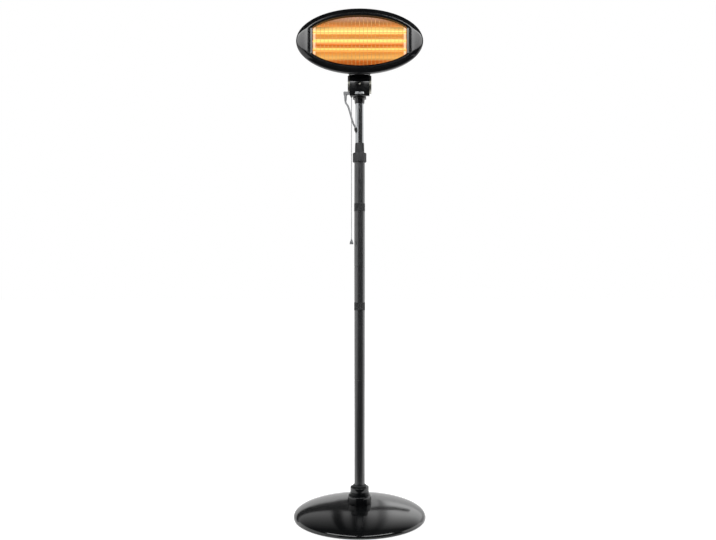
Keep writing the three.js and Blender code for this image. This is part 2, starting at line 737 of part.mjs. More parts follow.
function pullSwitch(carriage, pull) {
  const ferruleTop = underside(pullY + ferruleRadius) + boxWall + ferruleRise;
  const bore = pullCordDiameter / 2 + 0.6;
  const lip = ferruleRadius + ferruleLip;
  const lipTop = underside(pullY - lip) - seatGap;
  const lipFoot = lipTop - ferruleLipHeight;
  piece(carriage, 'pull_ferrule', revolve([
    [bore, ferruleMouth], [bore + 0.9, ferruleMouth], [ferruleRadius, ferruleMouth + 1], [ferruleRadius, lipFoot],
    [lip, lipFoot], [lip, lipTop], [ferruleRadius, lipTop], [ferruleRadius, ferruleTop], [bore, ferruleTop],
  ], smallSides), chrome).position.set(pullX, pullY, 0);

  const switchFoot = ferruleTop + seatGap;
  const chamberFoot = switchFoot + 2;
  const chamberTop = chamberFoot + pullTravel + plungerHeight + pullSlack;
  const body = block([-switchSide, -switchFront, switchFoot],
    [switchWidth - switchSide, switchDepth - switchFront, switchFoot + switchHeight]);
  const passage = bar([0, 0, switchFoot - 1], [0, 0, chamberFoot + 1], bore, smallSides);
  const chamber = bar([0, 0, chamberFoot], [0, 0, chamberTop], plungerRadius + slideGap, smallSides);
  piece(carriage, 'pull_switch', cut(body, passage, chamber), matteBlack).position.set(pullX, pullY, 0);

  const plungerFoot = chamberFoot + pullTravel + pullSlack / 2;
  const plunger = revolve([
    [0, plungerFoot], [plungerRadius, plungerFoot], [plungerRadius, plungerFoot + plungerHeight],
    [0, plungerFoot + plungerHeight],
  ], smallSides);
  piece(pull, 'switch_plunger', plunger, steel).position.set(pullX, pullY, 0);

  const knobTop = ferruleMouth - pullCordLength;
  const cordTop = plungerFoot - seatGap;
  const cordFoot = knobTop + seatGap;
  const stations = 16;
  const route = Array.from({ length: stations }, (_, i) => (
    [pullX, pullY, cordTop + ((cordFoot - cordTop) * i) / (stations - 1)]));
  piece(pull, 'pull_cord', cordTube(route, pullCordDiameter, 8, 12), cordGrey);
  const knobFoot = knobTop - knobHeight;
  piece(pull, 'pull_knob', revolve([
    [0, knobFoot + 1], [knobRadius - 1.6, knobFoot], [knobRadius, knobFoot + 2], [knobRadius - 0.4, knobFoot + 6],
    [knobRadius * 0.6, knobFoot + knobHeight * 0.62], [knobRadius * 0.38, knobTop - 2], [knobRadius * 0.3, knobTop],
    [0, knobTop],
  ], smallSides), cordGrey).position.set(pullX, pullY, 0);
}

// ---- Head

// Directions round the oval, with a point at each corner of the opening.
function ovalStations() {
  const corner = Math.acos(openingHalfWidth / openingOvalWidth);
  const sideSteps = 5;
  const longSteps = 17;
  const stations = [];
  for (const [from, to, steps] of [
    [-corner, corner, sideSteps], [corner, Math.PI - corner, longSteps],
    [Math.PI - corner, Math.PI + corner, sideSteps], [Math.PI + corner, 2 * Math.PI - corner, longSteps],
  ]) {
    for (let i = 0; i < steps; i++) stations.push(from + ((to - from) * i) / steps);
  }
  return stations;
}

// Ring of the outer oval, pulled in by an inset.
function ovalRing(inset, y, share = 1) {
  return ovalStations().map((angle) => new THREE.Vector3(
    (ovalHalfWidth * share - inset) * Math.cos(angle), y,
    headRise + (ovalHalfHeight * share - inset) * Math.sin(angle)));
}

// Ring of the opening: oval above and below, straight at the sides, pushed out by a margin.
function openingRing(margin, y) {
  const corner = Math.acos(openingHalfWidth / openingOvalWidth);
  const cornerHeight = openingOvalHeight * Math.sin(corner);
  return ovalStations().map((angle) => {
    const x = openingOvalWidth * Math.cos(angle);
    const straight = Math.abs(x) >= openingHalfWidth - 1e-6;
    const sideways = Math.sign(x) * (openingHalfWidth + margin);
    if (straight) {
      return new THREE.Vector3(sideways, y,
        headRise + (cornerHeight + margin) * (Math.sin(angle) / Math.sin(corner)));
    }
    return new THREE.Vector3(x * (1 + margin / openingHalfWidth), y,
      headRise + (openingOvalHeight + margin) * Math.sin(angle));
  });
}

// Ring part of the way from one ring to another.
function between(near, far, share, y) {
  return near.map((point, i) => point.clone().lerp(far[i], share).setY(y));
}

function frontBezel(group) {
  const back = frontPlane + bezelDepth;
  const rimFront = frontPlane + bezelPillow;
  const rim = ovalRing(0, rimFront);
  const mouth = openingRing(bezelWall, frontPlane);
  piece(group, 'front_bezel', loft([
    ovalRing(0, back),
    ovalRing(0, rimFront),
    ovalRing(bezelRound * 0.3, rimFront - bezelRound * 0.5),
    ovalRing(bezelRound, rimFront - bezelRound),
    between(rim, mouth, 0.45, frontPlane - bezelCrown * 0.6),
    between(rim, mouth, 0.7, frontPlane - bezelCrown),
    openingRing(bezelWall, frontPlane - bezelCrown / 2),
    openingRing(0, frontPlane + bezelWall),
    openingRing(0, lipBack),
    openingRing(bezelWall, lipBack),
    openingRing(bezelWall * 1.3, frontPlane + bezelWall * 1.3),
    between(rim, mouth, 0.5, frontPlane + bezelWall),
    ovalRing(bezelWall, back - 1),
    ovalRing(bezelWall, back),
  ], true), glossBlack);
}

// Share of the full oval that the rear shell keeps at a depth behind its front edge.
function shellShare(depth) {
  const way = Math.min(1, depth / shellDepth);
  return shellBackShare + (1 - shellBackShare) * (1 - way ** shellFullness) ** (1 / shellFullness);
}

function rearShell(group) {
  const depths = [0, 0.3, 0.6, 0.85, 1];
  const outer = depths.map((way) => ovalRing(0.5, shellFront + way * shellDepth, shellShare(way * shellDepth)));
  const inner = depths.map((way) => ovalRing(0.5 + shellWall,
    Math.min(shellFront + way * shellDepth, shellBack - shellWall), shellShare(way * shellDepth)));
  inner[0] = ovalRing(0.5 + shellWall, shellFront);
  const vents = [];
  for (let row = 0; row < ventRows; row++) {
    for (let column = 0; column < ventColumns; column++) {
      const x = (column - (ventColumns - 1) / 2) * ventPitch;
      const z = headRise + ventTop - row * ventRowPitch;
      vents.push(block([x - ventWidth / 2, shellBack - 20, z - ventHeight], [x + ventWidth / 2, shellBack + 20, z]));
    }
  }
  const screwHoles = [-1, 1].map((side) => bar(
    [side * bracketScrewSpread, shellBack - 15, bracketScrewHeight], [side * bracketScrewSpread, shellBack + 5, bracketScrewHeight],
    bracketScrewRadius + seatGap));
  const housingHoles = [-1, 1].map((side) => bar(
    [side * housingScrewSpread, shellBack - 15, headRise], [side * housingScrewSpread, shellBack + 5, headRise],
    bracketScrewRadius + seatGap));
  piece(group, 'rear_shell', cut(loft([...outer.reverse(), ...inner]), ...vents, ...screwHoles, ...housingHoles), satinBlack);
  for (const [index, side] of [-1, 1].entries()) {
    const fastener = piece(group, `housing_screw_${index + 1}`,
      screw(bracketScrewHead, 2.6, bracketScrewRadius, shellWall + 12), steel);
    fastener.rotation.x = -Math.PI / 2;
    fastener.position.set(side * housingScrewSpread, shellBack + seatGap, headRise);
  }
}

// Outline of a cheek: a disc round the tilt bolt and an arm that widens up to the web.
function cheekOutline(from, to) {
  const webTop = bracketFoot + bracketHeight;
  const back = webFront + armTopDepth;
  const outline = new THREE.Shape();
  outline.absarc(0, 0, armRadius, from, to, false);
  outline.lineTo(back, webTop - armTopCorner);
  outline.lineTo(back - armTopCorner, webTop);
  outline.lineTo(webFront, webTop);
  outline.lineTo(webFront, bracketFoot);
  outline.closePath();
  return outline;
}

// U bracket: a web on the shell's back and two cheeks that come down beside the box, each with a turned-out edge.
function tiltBracket(group) {
  const outer = armInside + armThickness;
  const webTop = bracketFoot + bracketHeight;
  const webBack = webFront + armThickness;
  const [from, to] = [100, 380].map(THREE.MathUtils.degToRad);
  const rim = new THREE.Shape();
  rim.absarc(0, 0, armRadius, from, to, false);
  rim.absarc(0, 0, armRadius - armThickness, to, from, true);
  rim.closePath();
  const cheek = join(prismAlongX(cheekOutline(from, to), armInside, outer),
    prismAlongX(rim, armInside, armInside + armRimDepth));
  const cheeks = [cheek, cheek.clone().scale(-1, 1, 1)];
  const web = block([-outer, webFront, bracketFoot], [outer, webBack, webTop]);
  const axle = bar([-outer - 1, 0, 0], [outer + 1, 0, 0], tiltBoltRadius + slideGap);
  const holes = [-1, 1].map((side) => bar([side * bracketScrewSpread, webFront - 5, bracketScrewHeight],
    [side * bracketScrewSpread, webBack + 5, bracketScrewHeight], bracketScrewRadius + seatGap));
  piece(group, 'tilt_bracket', cut(join(web, ...cheeks), axle, ...holes), steel);
  for (const [index, side] of [-1, 1].entries()) {
    const fastener = piece(group, `bracket_screw_${index + 1}`,
      screw(bracketScrewHead, 2.6, bracketScrewRadius, armThickness + shellWall + 4), steel);
    fastener.rotation.x = -Math.PI / 2;
    fastener.position.set(side * bracketScrewSpread, webBack + seatGap, bracketScrewHeight);
  }
}

// Cross section of the trough, drawn in Y and Z round the oval's centre.
function troughOutline(front, back, mouth, floor) {
  const outline = new THREE.Shape();
  outline.moveTo(front, headRise + mouth);
  outline.lineTo(back, headRise + floor);
  outline.lineTo(back, headRise - floor);
  outline.lineTo(front, headRise - mouth);
  outline.closePath();
  return outline;
}

// Oval prism that trims the trough to the head's outline.
function trimOval(halfWidth, halfHeight) {
  const oval = new THREE.Shape();
  oval.absellipse(0, headRise, halfWidth, halfHeight, 0, 2 * Math.PI, false);
  return prismAlongY(oval, reflectorFront - 5, reflectorBack + 10);
}

function quartzHeights() {
  return [1, 0, -1].map((row) => headRise + quartzRise + row * quartzPitch);
}

function reflector(group) {
  const reach = openingHalfWidth + reflectorSheet + 1.5;
  const trimWidth = openingOvalWidth + 11;
  const trimHeight = openingOvalHeight + 6.5;
  const outside = prismAlongX(
    troughOutline(reflectorFront, reflectorBack + reflectorSheet, reflectorMouth + reflectorSheet, reflectorFloor + reflectorSheet),
    -reach, reach);
  const inside = prismAlongX(
    troughOutline(reflectorFront - 0.01, reflectorBack, reflectorMouth, reflectorFloor), -reach - 1, reach + 1);
  piece(group, 'reflector', common(cut(outside, inside), trimOval(trimWidth, trimHeight)), brightSheet);

  const slope = Math.atan2(reflectorFlare, reflectorDepth);
  const hollow = prismAlongX(
    troughOutline(reflectorFront, reflectorBack - seatGap, reflectorMouth - seatGap, reflectorFloor - seatGap),
    -reach - 20, reach + 20);
  const holes = quartzHeights().map((z) => bar([-reach - 30, quartzY, z], [reach + 30, quartzY, z], quartzRadius + seatGap + 0.5));
  for (const [name, side] of [['left', -1], ['right', 1]]) {
    const plate = block([0, -20, headRise - 120], [reflectorSheet, reflectorDepth + 20, headRise + 120])
      .rotateZ(slope);
    const placed = (side > 0 ? plate : plate.clone().scale(-1, 1, 1))
      .translate(side * openingHalfWidth, reflectorFront, 0);
    piece(group, `end_plate_${name}`,
      cut(common(placed, hollow, trimOval(trimWidth, trimHeight)), ...holes), brightSheet);
  }
}

function quartzTubes(group) {
  const plateOutside = openingHalfWidth + reflectorSheet + 1.5;
  const holderInside = plateOutside + seatGap;
  const tubeEnd = holderInside + holderSeat - seatGap;
  const coilEnd = tubeEnd + coilSeat;
  for (const [index, z] of quartzHeights().entries()) {
    const glass = tube(quartzRadius, quartzRadius - quartzWall, -tubeEnd, tubeEnd, smallSides).rotateY(Math.PI / 2);
    piece(group, `quartz_tube_${index + 1}`, glass, quartzGlass).position.set(0, quartzY, z);
    const wire = bar([-coilEnd, 0, 0], [coilEnd, 0, 0], coilRadius, 8);
    piece(group, `heating_coil_${index + 1}`, wire, glowingCoil).position.set(0, quartzY, z);
  }
  for (const [name, side] of [['left', -1], ['right', 1]]) {
    const [near, far] = [side * holderInside, side * (holderInside + holderThickness)];
    const body = block(
      [Math.min(near, far), reflectorFront, headRise + quartzRise - holderHeight / 2],
      [Math.max(near, far), reflectorFront + holderDepth, headRise + quartzRise + holderHeight / 2]);
    const sockets = quartzHeights().flatMap((z) => [
      bar([near - side, quartzY, z], [side * (tubeEnd + seatGap), quartzY, z], quartzRadius + seatGap),
      bar([near - side, quartzY, z], [side * (coilEnd + seatGap), quartzY, z], coilRadius + seatGap, 8),
    ]);
    piece(group, `tube_holder_${name}`, cut(body, ...sockets), ceramic);
  }
}

// Half height of the opening at a place along X.
function openingHalfHeight(x) {
  return openingOvalHeight * Math.sqrt(1 - (x / openingOvalWidth) ** 2);
}

// Welded guard: a frame wire round the opening, upright wires and a few cross rails.
function wireGuard(group) {
  const frameY = lipBack - guardFrameRadius - seatGap;
  const centreLine = openingRing(-guardFrameRadius - seatGap, frameY);
  const centre = new THREE.Vector3(0, frameY, headRise);
  const sections = centreLine.map((point, i) => {
    const previous = centreLine.at(i - 1);
    const next = centreLine[(i + 1) % centreLine.length];
    const forward = next.clone().sub(previous).normalize();
    const side = new THREE.Vector3(0, 1, 0).cross(forward).normalize();
    if (side.dot(point.clone().sub(centre)) < 0) side.negate();
    return Array.from({ length: wireSides }, (_, k) => {
      const angle = (2 * Math.PI * k) / wireSides;
      return point.clone()
        .addScaledVector(side, guardFrameRadius * Math.cos(angle))
        .addScaledVector(new THREE.Vector3(0, 1, 0), guardFrameRadius * Math.sin(angle));
    });
  });
  const frame = loft(sections, true);
  const wires = [];
  const inset = guardFrameRadius + seatGap;
  const columns = Math.floor((openingHalfWidth - inset - 4) / guardPitch);
  for (let column = -columns; column <= columns; column++) {
    const x = column * guardPitch;
    const half = openingHalfHeight(x) - inset;
    wires.push(bar([x, frameY, headRise - half], [x, frameY, headRise + half], guardWireRadius, wireSides));
  }
  const railY = frameY + guardRailSet;
  for (let row = 0; row < guardRailRows; row++) {
    const rise = (row - (guardRailRows - 1) / 2) * guardRailPitch;
    const share = Math.sqrt(1 - (rise / openingOvalHeight) ** 2);
    const half = Math.min(openingHalfWidth, openingOvalWidth * share) - inset;
    wires.push(bar([-half, railY, headRise + rise], [half, railY, headRise + rise], guardWireRadius, wireSides));
  }
  piece(group, 'wire_guard', join(frame, ...wires), steel);
}

// ---- Assembly: each group moves as one

const heater = new THREE.Group();
const stand = new THREE.Group();
const lock = new THREE.Group();
const carriage = new THREE.Group();
const pull = new THREE.Group();
const head = new THREE.Group();
head.position.set(0, 0, tiltHeight);
heater.add(stand, lock, carriage);
carriage.add(pull, head);

baseCover(stand);
baseBallast(stand);
baseClamp(stand);
baseCollar(stand);
pole(stand);
poleBand(stand, 'lower_band', lowerBandHeight);
poleBand(stand, 'upper_band', upperBandHeight);
collet(stand);
lockCollar(lock);
upperTube(carriage);
controlBox(carriage);
leadBoot(carriage);
piece(carriage, 'mains_lead', cordTube(leadRoute, leadDiameter, 8, 20), sheathGrey);
tiltBolts(carriage);
pullSwitch(carriage, pull);
tiltBracket(head);
rearShell(head);
frontBezel(head);
reflector(head);
quartzTubes(head);
wireGuard(head);

export default heater;
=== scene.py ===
"""Freestanding infrared patio heater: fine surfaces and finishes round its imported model.

Laid out as an add-on: sizes and colours are properties, and each group of pieces has its own operator.
Metres, +Z up, the front faces -Y, and the origin is on the ground under the pole.
"""

import contextlib
import json
import math

import bmesh
import bpy
from bpy.props import FloatProperty, FloatVectorProperty, IntProperty, PointerProperty
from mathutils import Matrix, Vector


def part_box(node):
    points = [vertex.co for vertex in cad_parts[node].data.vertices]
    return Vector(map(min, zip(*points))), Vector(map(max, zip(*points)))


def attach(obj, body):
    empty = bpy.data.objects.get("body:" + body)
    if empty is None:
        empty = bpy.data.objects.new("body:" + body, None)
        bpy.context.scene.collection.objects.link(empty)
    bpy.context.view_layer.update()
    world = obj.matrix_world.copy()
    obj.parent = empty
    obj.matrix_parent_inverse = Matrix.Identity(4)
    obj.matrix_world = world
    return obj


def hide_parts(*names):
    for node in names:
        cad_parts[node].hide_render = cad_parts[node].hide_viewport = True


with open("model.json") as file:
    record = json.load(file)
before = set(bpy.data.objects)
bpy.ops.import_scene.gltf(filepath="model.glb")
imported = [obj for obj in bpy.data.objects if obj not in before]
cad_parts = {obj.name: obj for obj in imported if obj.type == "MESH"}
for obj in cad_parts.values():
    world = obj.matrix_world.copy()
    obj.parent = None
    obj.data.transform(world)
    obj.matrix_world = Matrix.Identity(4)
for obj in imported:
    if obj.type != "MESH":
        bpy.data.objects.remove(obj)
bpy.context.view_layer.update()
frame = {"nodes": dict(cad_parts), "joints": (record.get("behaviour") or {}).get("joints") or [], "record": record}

bl_info = {
    "name": "Patio heater dressing",
    "version": (1, 0, 0),
    "blender": (4, 5, 0),
    "location": "3D View > Sidebar > Heater",
    "description": "Models and finishes the pieces of a freestanding infrared patio heater",
    "category": "Object",
}

MM = 0.001
NEAR = 0.01 * MM  # places that are closer than this are the same
ROUND = 96  # sides of a turned piece
SMALL_ROUND = 32  # sides of a screw or a grommet
LEAD_HOLE = 5.3 * MM  # radius of the holes that the lead passes through
RECORD = frame["record"]
BODY_OF = {node: body for body, nodes in RECORD["behaviour"]["bodies"].items() for node in nodes}
SLOT_OF = {part["node"]: part["material_slot"] for part in RECORD["subparts"]}
CAD_FRONT = -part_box("box_front")[0].y  # of the control box, from the pole's axis
TILT_AXIS = Vector(next(joint["pos_m"] for joint in frame["joints"] if joint["name"] == "head_tilt"))


# ---- Properties


def linear(code):
    """Linear colour of an sRGB hex value."""
    shares = (int(code[place : place + 2], 16) / 255 for place in (1, 3, 5))
    return tuple(s / 12.92 if s <= 0.04045 else ((s + 0.055) / 1.055) ** 2.4 for s in shares)


def size(name, description, millimetres):
    """A length property, given in millimetres."""
    return FloatProperty(
        name=name, description=description, default=millimetres * MM, min=0.0, precision=4, unit="LENGTH"
    )


def colour(name, description, code):
    """A colour property, given as an sRGB hex value."""
    return FloatVectorProperty(
        name=name, description=description, default=linear(code), size=3, min=0.0, max=1.0, subtype="COLOR"
    )


class HeaterBaseSizes(bpy.types.PropertyGroup):
    """Sizes of the domed base and the stepped collar on it."""

    rim_height: size("Rim height", "Height of the dome's rolled rim above the ground", 8)
    rim_bead: size("Rim bead", "Radius of the roll along the rim's lower edge", 2)
    crown_radius: size("Crown radius", "Flat at the top of the dome, under the flange", 46)
    cover_wall: size("Cover wall", "Thickness of the pressed cover", 2)
    bolt_hole: size("Bolt hole", "Radius of the hole for the clamp bolt", 7)
    flange_fillet: size("Flange fillet", "Round of the flange's shoulder", 4)
    collar_fillet: size("Collar fillet", "Round of the collar's shoulder", 3)


class HeaterPoleSizes(bpy.types.PropertyGroup):
    """Sizes of the pole, its straps and the height lock."""

    seam_chamfer: size("Seam chamfer", "Chamfer of each section's end at a seam", 0.9)
    wall: size("Pole wall", "Wall of the pole's sections", 1.5)
    upper_wall: size("Upper wall", "Wall of the chromed upper tube", 1.2)
    strap_thickness: size("Strap thickness", "Thickness of the straps round the pole", 0.8)
    strap_edge: size("Strap edge", "Width of the woven edge of a strap", 3)
    lock_rib_depth: size("Rib depth", "Depth of the grip's grooves", 1.1)
    lock_ribs: IntProperty(name="Ribs", description="Ribs round the lock collar", default=14, min=4)
    collet_slots: IntProperty(name="Slots", description="Slots in the collet's tip", default=4, min=2)


class HeaterBoxSizes(bpy.types.PropertyGroup):
    """Sizes of the control box and the socket under it."""

    drop: size("Box drop", "From the tilt axis down to the box's lowest point", 49.5)
    rake: FloatProperty(
        name="Rake", description="Rise of the underside towards the back", default=math.radians(14), subtype="ANGLE"
    )
    front_corner: size("Front corner", "Round of the lower edge in front", 9)
    rear_corner: size("Rear corner", "Round of the lower edge at the back", 10)
    wall: size("Box wall", "Wall of the moulded shells", 2.5)
    edge: size("Box edge", "Round along the sides", 1.8)
    boss_rise: size("Boss rise", "Foot of the cable boss above the box's lowest point", 6.5)
    boss_height: size("Boss height", "Height of the cable boss", 10)
    boss_depth: size("Boss depth", "Depth of the cable boss, front to back", 16)
    plate_half_width: size("Plate half width", "Half width of the blank plate", 16.7)
    plate_foot: size("Plate foot", "Lower edge of the blank plate above the box's lowest point", 5.1)
    plate_top: size("Plate top", "Upper edge of the blank plate above the box's lowest point", 14.5)
    neck_radius: size("Neck radius", "Radius of the socket's neck", 19.2)
    neck_foot: size("Neck foot", "Lower end of the neck above the socket's tip", 8.2)
    neck_top: size("Neck top", "Upper end of the neck above the socket's tip", 17.5)


class HeaterHeadSizes(bpy.types.PropertyGroup):
    """Sizes of the head: bezel, rear housing, tubes and guard."""

    opening_half_width: size("Opening half width", "From the middle to the opening's upright sides", 174)
    opening_oval_width: size("Opening oval width", "Half width of the oval that shapes the opening", 203)
    opening_oval_height: size("Opening oval height", "Half height of the oval that shapes the opening", 92)
    lip_depth: size("Lip depth", "From the bezel's front to the back edge of its lip", 17.5)
    bezel_crest: FloatProperty(
        name="Bezel crest",
        description="Where the bezel is proudest, from rim to opening",
        default=0.7,
        subtype="FACTOR",
    )
    bezel_wall: size("Bezel wall", "Wall of the moulded bezel", 2.6)
    shell_wall: size("Shell wall", "Wall of the rear housing", 2.5)
    shell_back_share: FloatProperty(
        name="Back share", description="Share of the oval that the flat back keeps", default=0.6, subtype="FACTOR"
    )
    shell_fullness: FloatProperty(
        name="Fullness", description="How full the shell's side is: 1 is a cone, 2 is round", default=2.0
    )
    vent_width: size("Vent width", "Width of each slot in the back", 8)
    vent_height: size("Vent height", "Height of each slot in the back", 17)
    vent_top: size("Vent top", "From the middle up to the top of the first row", 52)
    vent_pitch: size("Vent pitch", "From slot to slot along a row", 20)
    vent_row_pitch: size("Vent row pitch", "From row to row", 24)
    vent_columns: IntProperty(name="Vent columns", description="Slots in each row", default=7, min=1)
    vent_rows: IntProperty(name="Vent rows", description="Rows of slots", default=2, min=1)
    guard_pitch: size("Guard pitch", "From wire to wire of the guard", 14.5)
    guard_rail_pitch: size("Guard rail pitch", "Between the two cross rails of the guard", 66)
    guard_wire: size("Guard wire", "Radius of the guard's wires", 0.75)
    guard_frame: size("Guard frame", "Radius of the guard's frame wire", 1)
    quartz_wall: size("Quartz wall", "Wall of the quartz tubes", 1.2)
    coil_radius: size("Coil radius", "Radius of the heating coil", 2.1)
    coil_pitch: size("Coil pitch", "From turn to turn of the heating coil", 2.6)
    coil_wire: size("Coil wire", "Radius of the heating wire", 0.45)
    reflector_fold: size("Reflector fold", "From the middle to the folds beside the sheet's flat back", 62)


class HeaterColours(bpy.types.PropertyGroup):
    """Base colours of the finishes."""

    enamel: colour("Enamel", "Gloss black of the domed base", "#0d0e0f")
    powder_coat: colour("Powder coat", "Satin black of the pole and bracket", "#1e1f21")
    gloss_moulding: colour("Gloss moulding", "Black of the bezel and control box", "#0c0d0f")
    matte_moulding: colour("Matte moulding", "Black of the lock collar", "#1c1d1f")
    heatproof_moulding: colour("Heatproof moulding", "Satin black of the rear housing", "#151618")
    grey_moulding: colour("Grey moulding", "Grey of the pull knob", "#7d8083")
    braid: colour("Braid", "Light grey of the pull cord", "#c4c6c8")
    sheath: colour("Sheath", "Grey of the mains lead", "#8b8c8e")
    rubber: colour("Rubber", "Black of feet and grommets", "#141414")
    # Painted light: warm tint of the reflector sheet that stands in for the tubes' glow on it.
    reflector_painted_glow: colour("Reflector gold", "Reflector sheet lit by the tubes", "#d79a45")
    tube_glow: colour("Tube glow", "Glow of the quartz tubes", "#f9d088")
    coil_glow: colour("Coil glow", "Glow of the heating wire", "#ffd898")


class HeaterStage(bpy.types.PropertyGroup):
    """Camera and light."""

    camera_distance: size("Camera distance", "From the pole's axis to the camera", 2810)
    camera_height: size("Camera height", "Height of the level camera", 937)
    camera_shift: size("Camera offset", "Sideways place of the camera", -6)
    lens: FloatProperty(name="Lens", description="Focal length on a 36 mm frame, in millimetres", default=37.2)
    side_power: FloatProperty(name="Side lamps", description="Power of each side lamp", default=34.0, unit="POWER")
    top_power: FloatProperty(name="Top lamps", description="Power of each top lamp", default=26.0, unit="POWER")
    fill: FloatProperty(name="Fill", description="Strength of the even light all round", default=0.42)


# ---- Modelling helpers


def clear():
    """Leaves edit mode and deselects everything."""
    if bpy.context.mode != "OBJECT":
        bpy.ops.object.mode_set(mode="OBJECT")
    bpy.ops.object.select_all(action="DESELECT")


def pick(piece):
    """Selects one piece and makes it active."""
    clear()
    piece.select_set(True)
    bpy.context.view_layer.objects.active = piece


def begin(name, primitive, **settings):
    """Adds a primitive under a name."""
    clear()
    primitive(**settings)
    piece = bpy.context.object
    piece.name = piece.data.name = name
    return piece


@contextlib.contextmanager
def editing(piece):
    """Edit mode on one piece, with all of it selected."""
    pick(piece)
    bpy.ops.object.mode_set(mode="EDIT")
    bpy.ops.mesh.select_mode(type="VERT")
    bpy.ops.mesh.select_all(action="SELECT")
    yield
    bpy.ops.object.mode_set(mode="OBJECT")


def choose(piece, kind, test):
    """Selects the vertices, edges or faces of the piece in edit mode that pass a test."""
    bpy.ops.mesh.select_all(action="DESELECT")
    bpy.ops.mesh.select_mode(type={"verts": "VERT", "edges": "EDGE", "faces": "FACE"}[kind])
    shape = bmesh.from_edit_mesh(piece.data)
    for item in getattr(shape, kind):
        if test(item):
            item.select = True
    shape.select_flush_mode()
    bmesh.update_edit_mesh(piece.data)


def modify(piece, kind, **settings):
    """Adds a modifier and applies it."""
    pick(piece)
    modifier = piece.modifiers.new(kind.title(), kind)
    for name, value in settings.items():
        setattr(modifier, name, value)
    bpy.ops.object.modifier_apply(modifier=modifier.name)


def soften(piece, width, segments=3, angle=35):
    """Rounds the edges that are sharper than an angle."""
    modify(piece, "BEVEL", width=width, segments=segments, limit_method="ANGLE", angle_limit=math.radians(angle))


def thicken(piece, wall):
    """Gives a skin its wall, on the inside."""
    modify(piece, "SOLIDIFY", thickness=wall, offset=-1, use_even_offset=True)


def settle(piece):
    """Makes a piece's place, turn and scale part of its shape."""
    pick(piece)
    bpy.ops.object.transform_apply(location=True, rotation=True, scale=True)


def carve(piece, tool, operation="DIFFERENCE"):
    """Cuts a tool from a piece, or joins it on, and removes the tool."""
    modify(piece, "BOOLEAN", operation=operation, object=tool, solver="EXACT")
    bpy.data.objects.remove(tool)


def shift(piece, place):
    """Moves a piece drawn about Z across and back to a place."""
    piece.location = (place.x, place.y, 0)
    settle(piece)


def span(node):
    """Corners, middle and half width of a CAD node."""
    low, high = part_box(node)
    return low, high, (low + high) / 2, (high.x - low.x) / 2


def tidy_skin(piece):
    """Merges doubles and turns the faces outwards."""
    with editing(piece):
        bpy.ops.mesh.remove_doubles(threshold=0.005 * MM)
        bpy.ops.mesh.normals_make_consistent(inside=False)


RING_PLANES = {
    "X": ((0, math.pi / 2, 0), lambda a, b: (1, a, b), Vector((1, 0, 0))),
    "Y": ((math.pi / 2, 0, 0), lambda a, b: (a, 1, b), Vector((0, 1, 0))),
    "Z": ((0, 0, 0), lambda a, b: (a, b, 1), Vector((0, 0, 1))),
}


def drawn(name, rings, axis="Z", centre=(0, 0, 0), sides=ROUND, ends="open", flats=None):
    """Skin drawn out along an axis from a circle: each ring is (half width, half height, place).

    The ends are left open, capped, or joined to each other so that the section closes on itself.
    A ring's flat is the half width at which its round ends are pressed straight.
    """
    turn, scale, along = RING_PLANES[axis]
    width, height, place = rings[0]
    middle = Vector(centre)
    piece = begin(
        name,
        bpy.ops.mesh.primitive_circle_add,
        vertices=sides,
        radius=width,
        fill_type="NGON" if ends == "capped" else "NOTHING",
        location=middle + along * place,
        rotation=turn,
    )
    settle(piece)
    with editing(piece):
        bpy.ops.transform.resize(value=scale(1, height / width), center_override=middle + along * place)
        for number, (next_width, next_height, next_place) in enumerate(rings[1:], 1):
            bpy.ops.mesh.extrude_region_move(
                TRANSFORM_OT_translate={"value": along * (next_place - place)}
            )
            bpy.ops.transform.resize(
                value=scale(next_width / width, next_height / height),
                center_override=middle + along * next_place,
            )
            width, height, place = next_width, next_height, next_place
            if flats and flats[number] < width:
                press_flat(piece, flats[number])
        if ends == "joined":
            bpy.ops.mesh.select_all(action="DESELECT")
            bpy.ops.mesh.select_non_manifold()
            bpy.ops.mesh.bridge_edge_loops()
    tidy_skin(piece)
    return piece


def press_flat(piece, half_width):
    """Presses the round ends of the selected ring straight, and leaves the whole ring selected."""
    bpy.ops.mesh.hide(unselected=True)
    press_ends(piece, half_width)
    bpy.ops.mesh.select_all(action="SELECT")
    bpy.ops.mesh.reveal(select=False)


def press_ends(piece, half_width):
    """Presses all that shows beyond a half width straight."""
    for side in (-1, 1):
        choose(piece, "verts", lambda v: not v.hide and side * v.co.x > half_width)
        bpy.ops.transform.resize(value=(0, 1, 1), center_override=(side * half_width, 0, 0))


def turned(name, profile, sides=ROUND, ends="joined"):
    """Shape of revolution about Z from (radius, height) points."""
    return drawn(name, [(radius, radius, height) for radius, height in profile], sides=sides, ends=ends)


def pipe(bore, radius, start, end, chamfer):
    """Profile of a tube's wall, chamfered outside at both ends."""
    return [
        (bore, start),
        (radius - chamfer, start),
        (radius, start + chamfer),
        (radius, end - chamfer),
        (radius - chamfer, end),
        (bore, end),
    ]


def arc(radius_middle, height_middle, radius, start, end, steps=5):
    """Points of a round in a profile, between two angles in degrees."""
    angles = (math.radians(start + (end - start) * step / steps) for step in range(steps + 1))
    return [(radius_middle + radius * math.cos(a), height_middle + radius * math.sin(a)) for a in angles]


def rod(name, start, end, radius, sides=SMALL_ROUND):
    """Round bar from one point to another."""
    start, end = Vector(start), Vector(end)
    piece = begin(
        name,
        bpy.ops.mesh.primitive_cylinder_add,
        vertices=sides,
        radius=radius,
        depth=(end - start).length,
        location=(start + end) / 2,
        rotation=(end - start).to_track_quat("Z", "Y").to_euler(),
    )
    settle(piece)
    return piece


def block(name, low, high):
    """Box between two corners."""
    low, high = Vector(low), Vector(high)
    piece = begin(
        name, bpy.ops.mesh.primitive_cube_add, size=1, location=(low + high) / 2, scale=high - low
    )
    settle(piece)
    return piece


def place_along(piece, point, direction):
    """Turns a piece drawn along Z to a direction and moves it to a point."""
    piece.rotation_euler = Vector(direction).to_track_quat("Z", "Y").to_euler()
    piece.location = point
    settle(piece)
    return piece


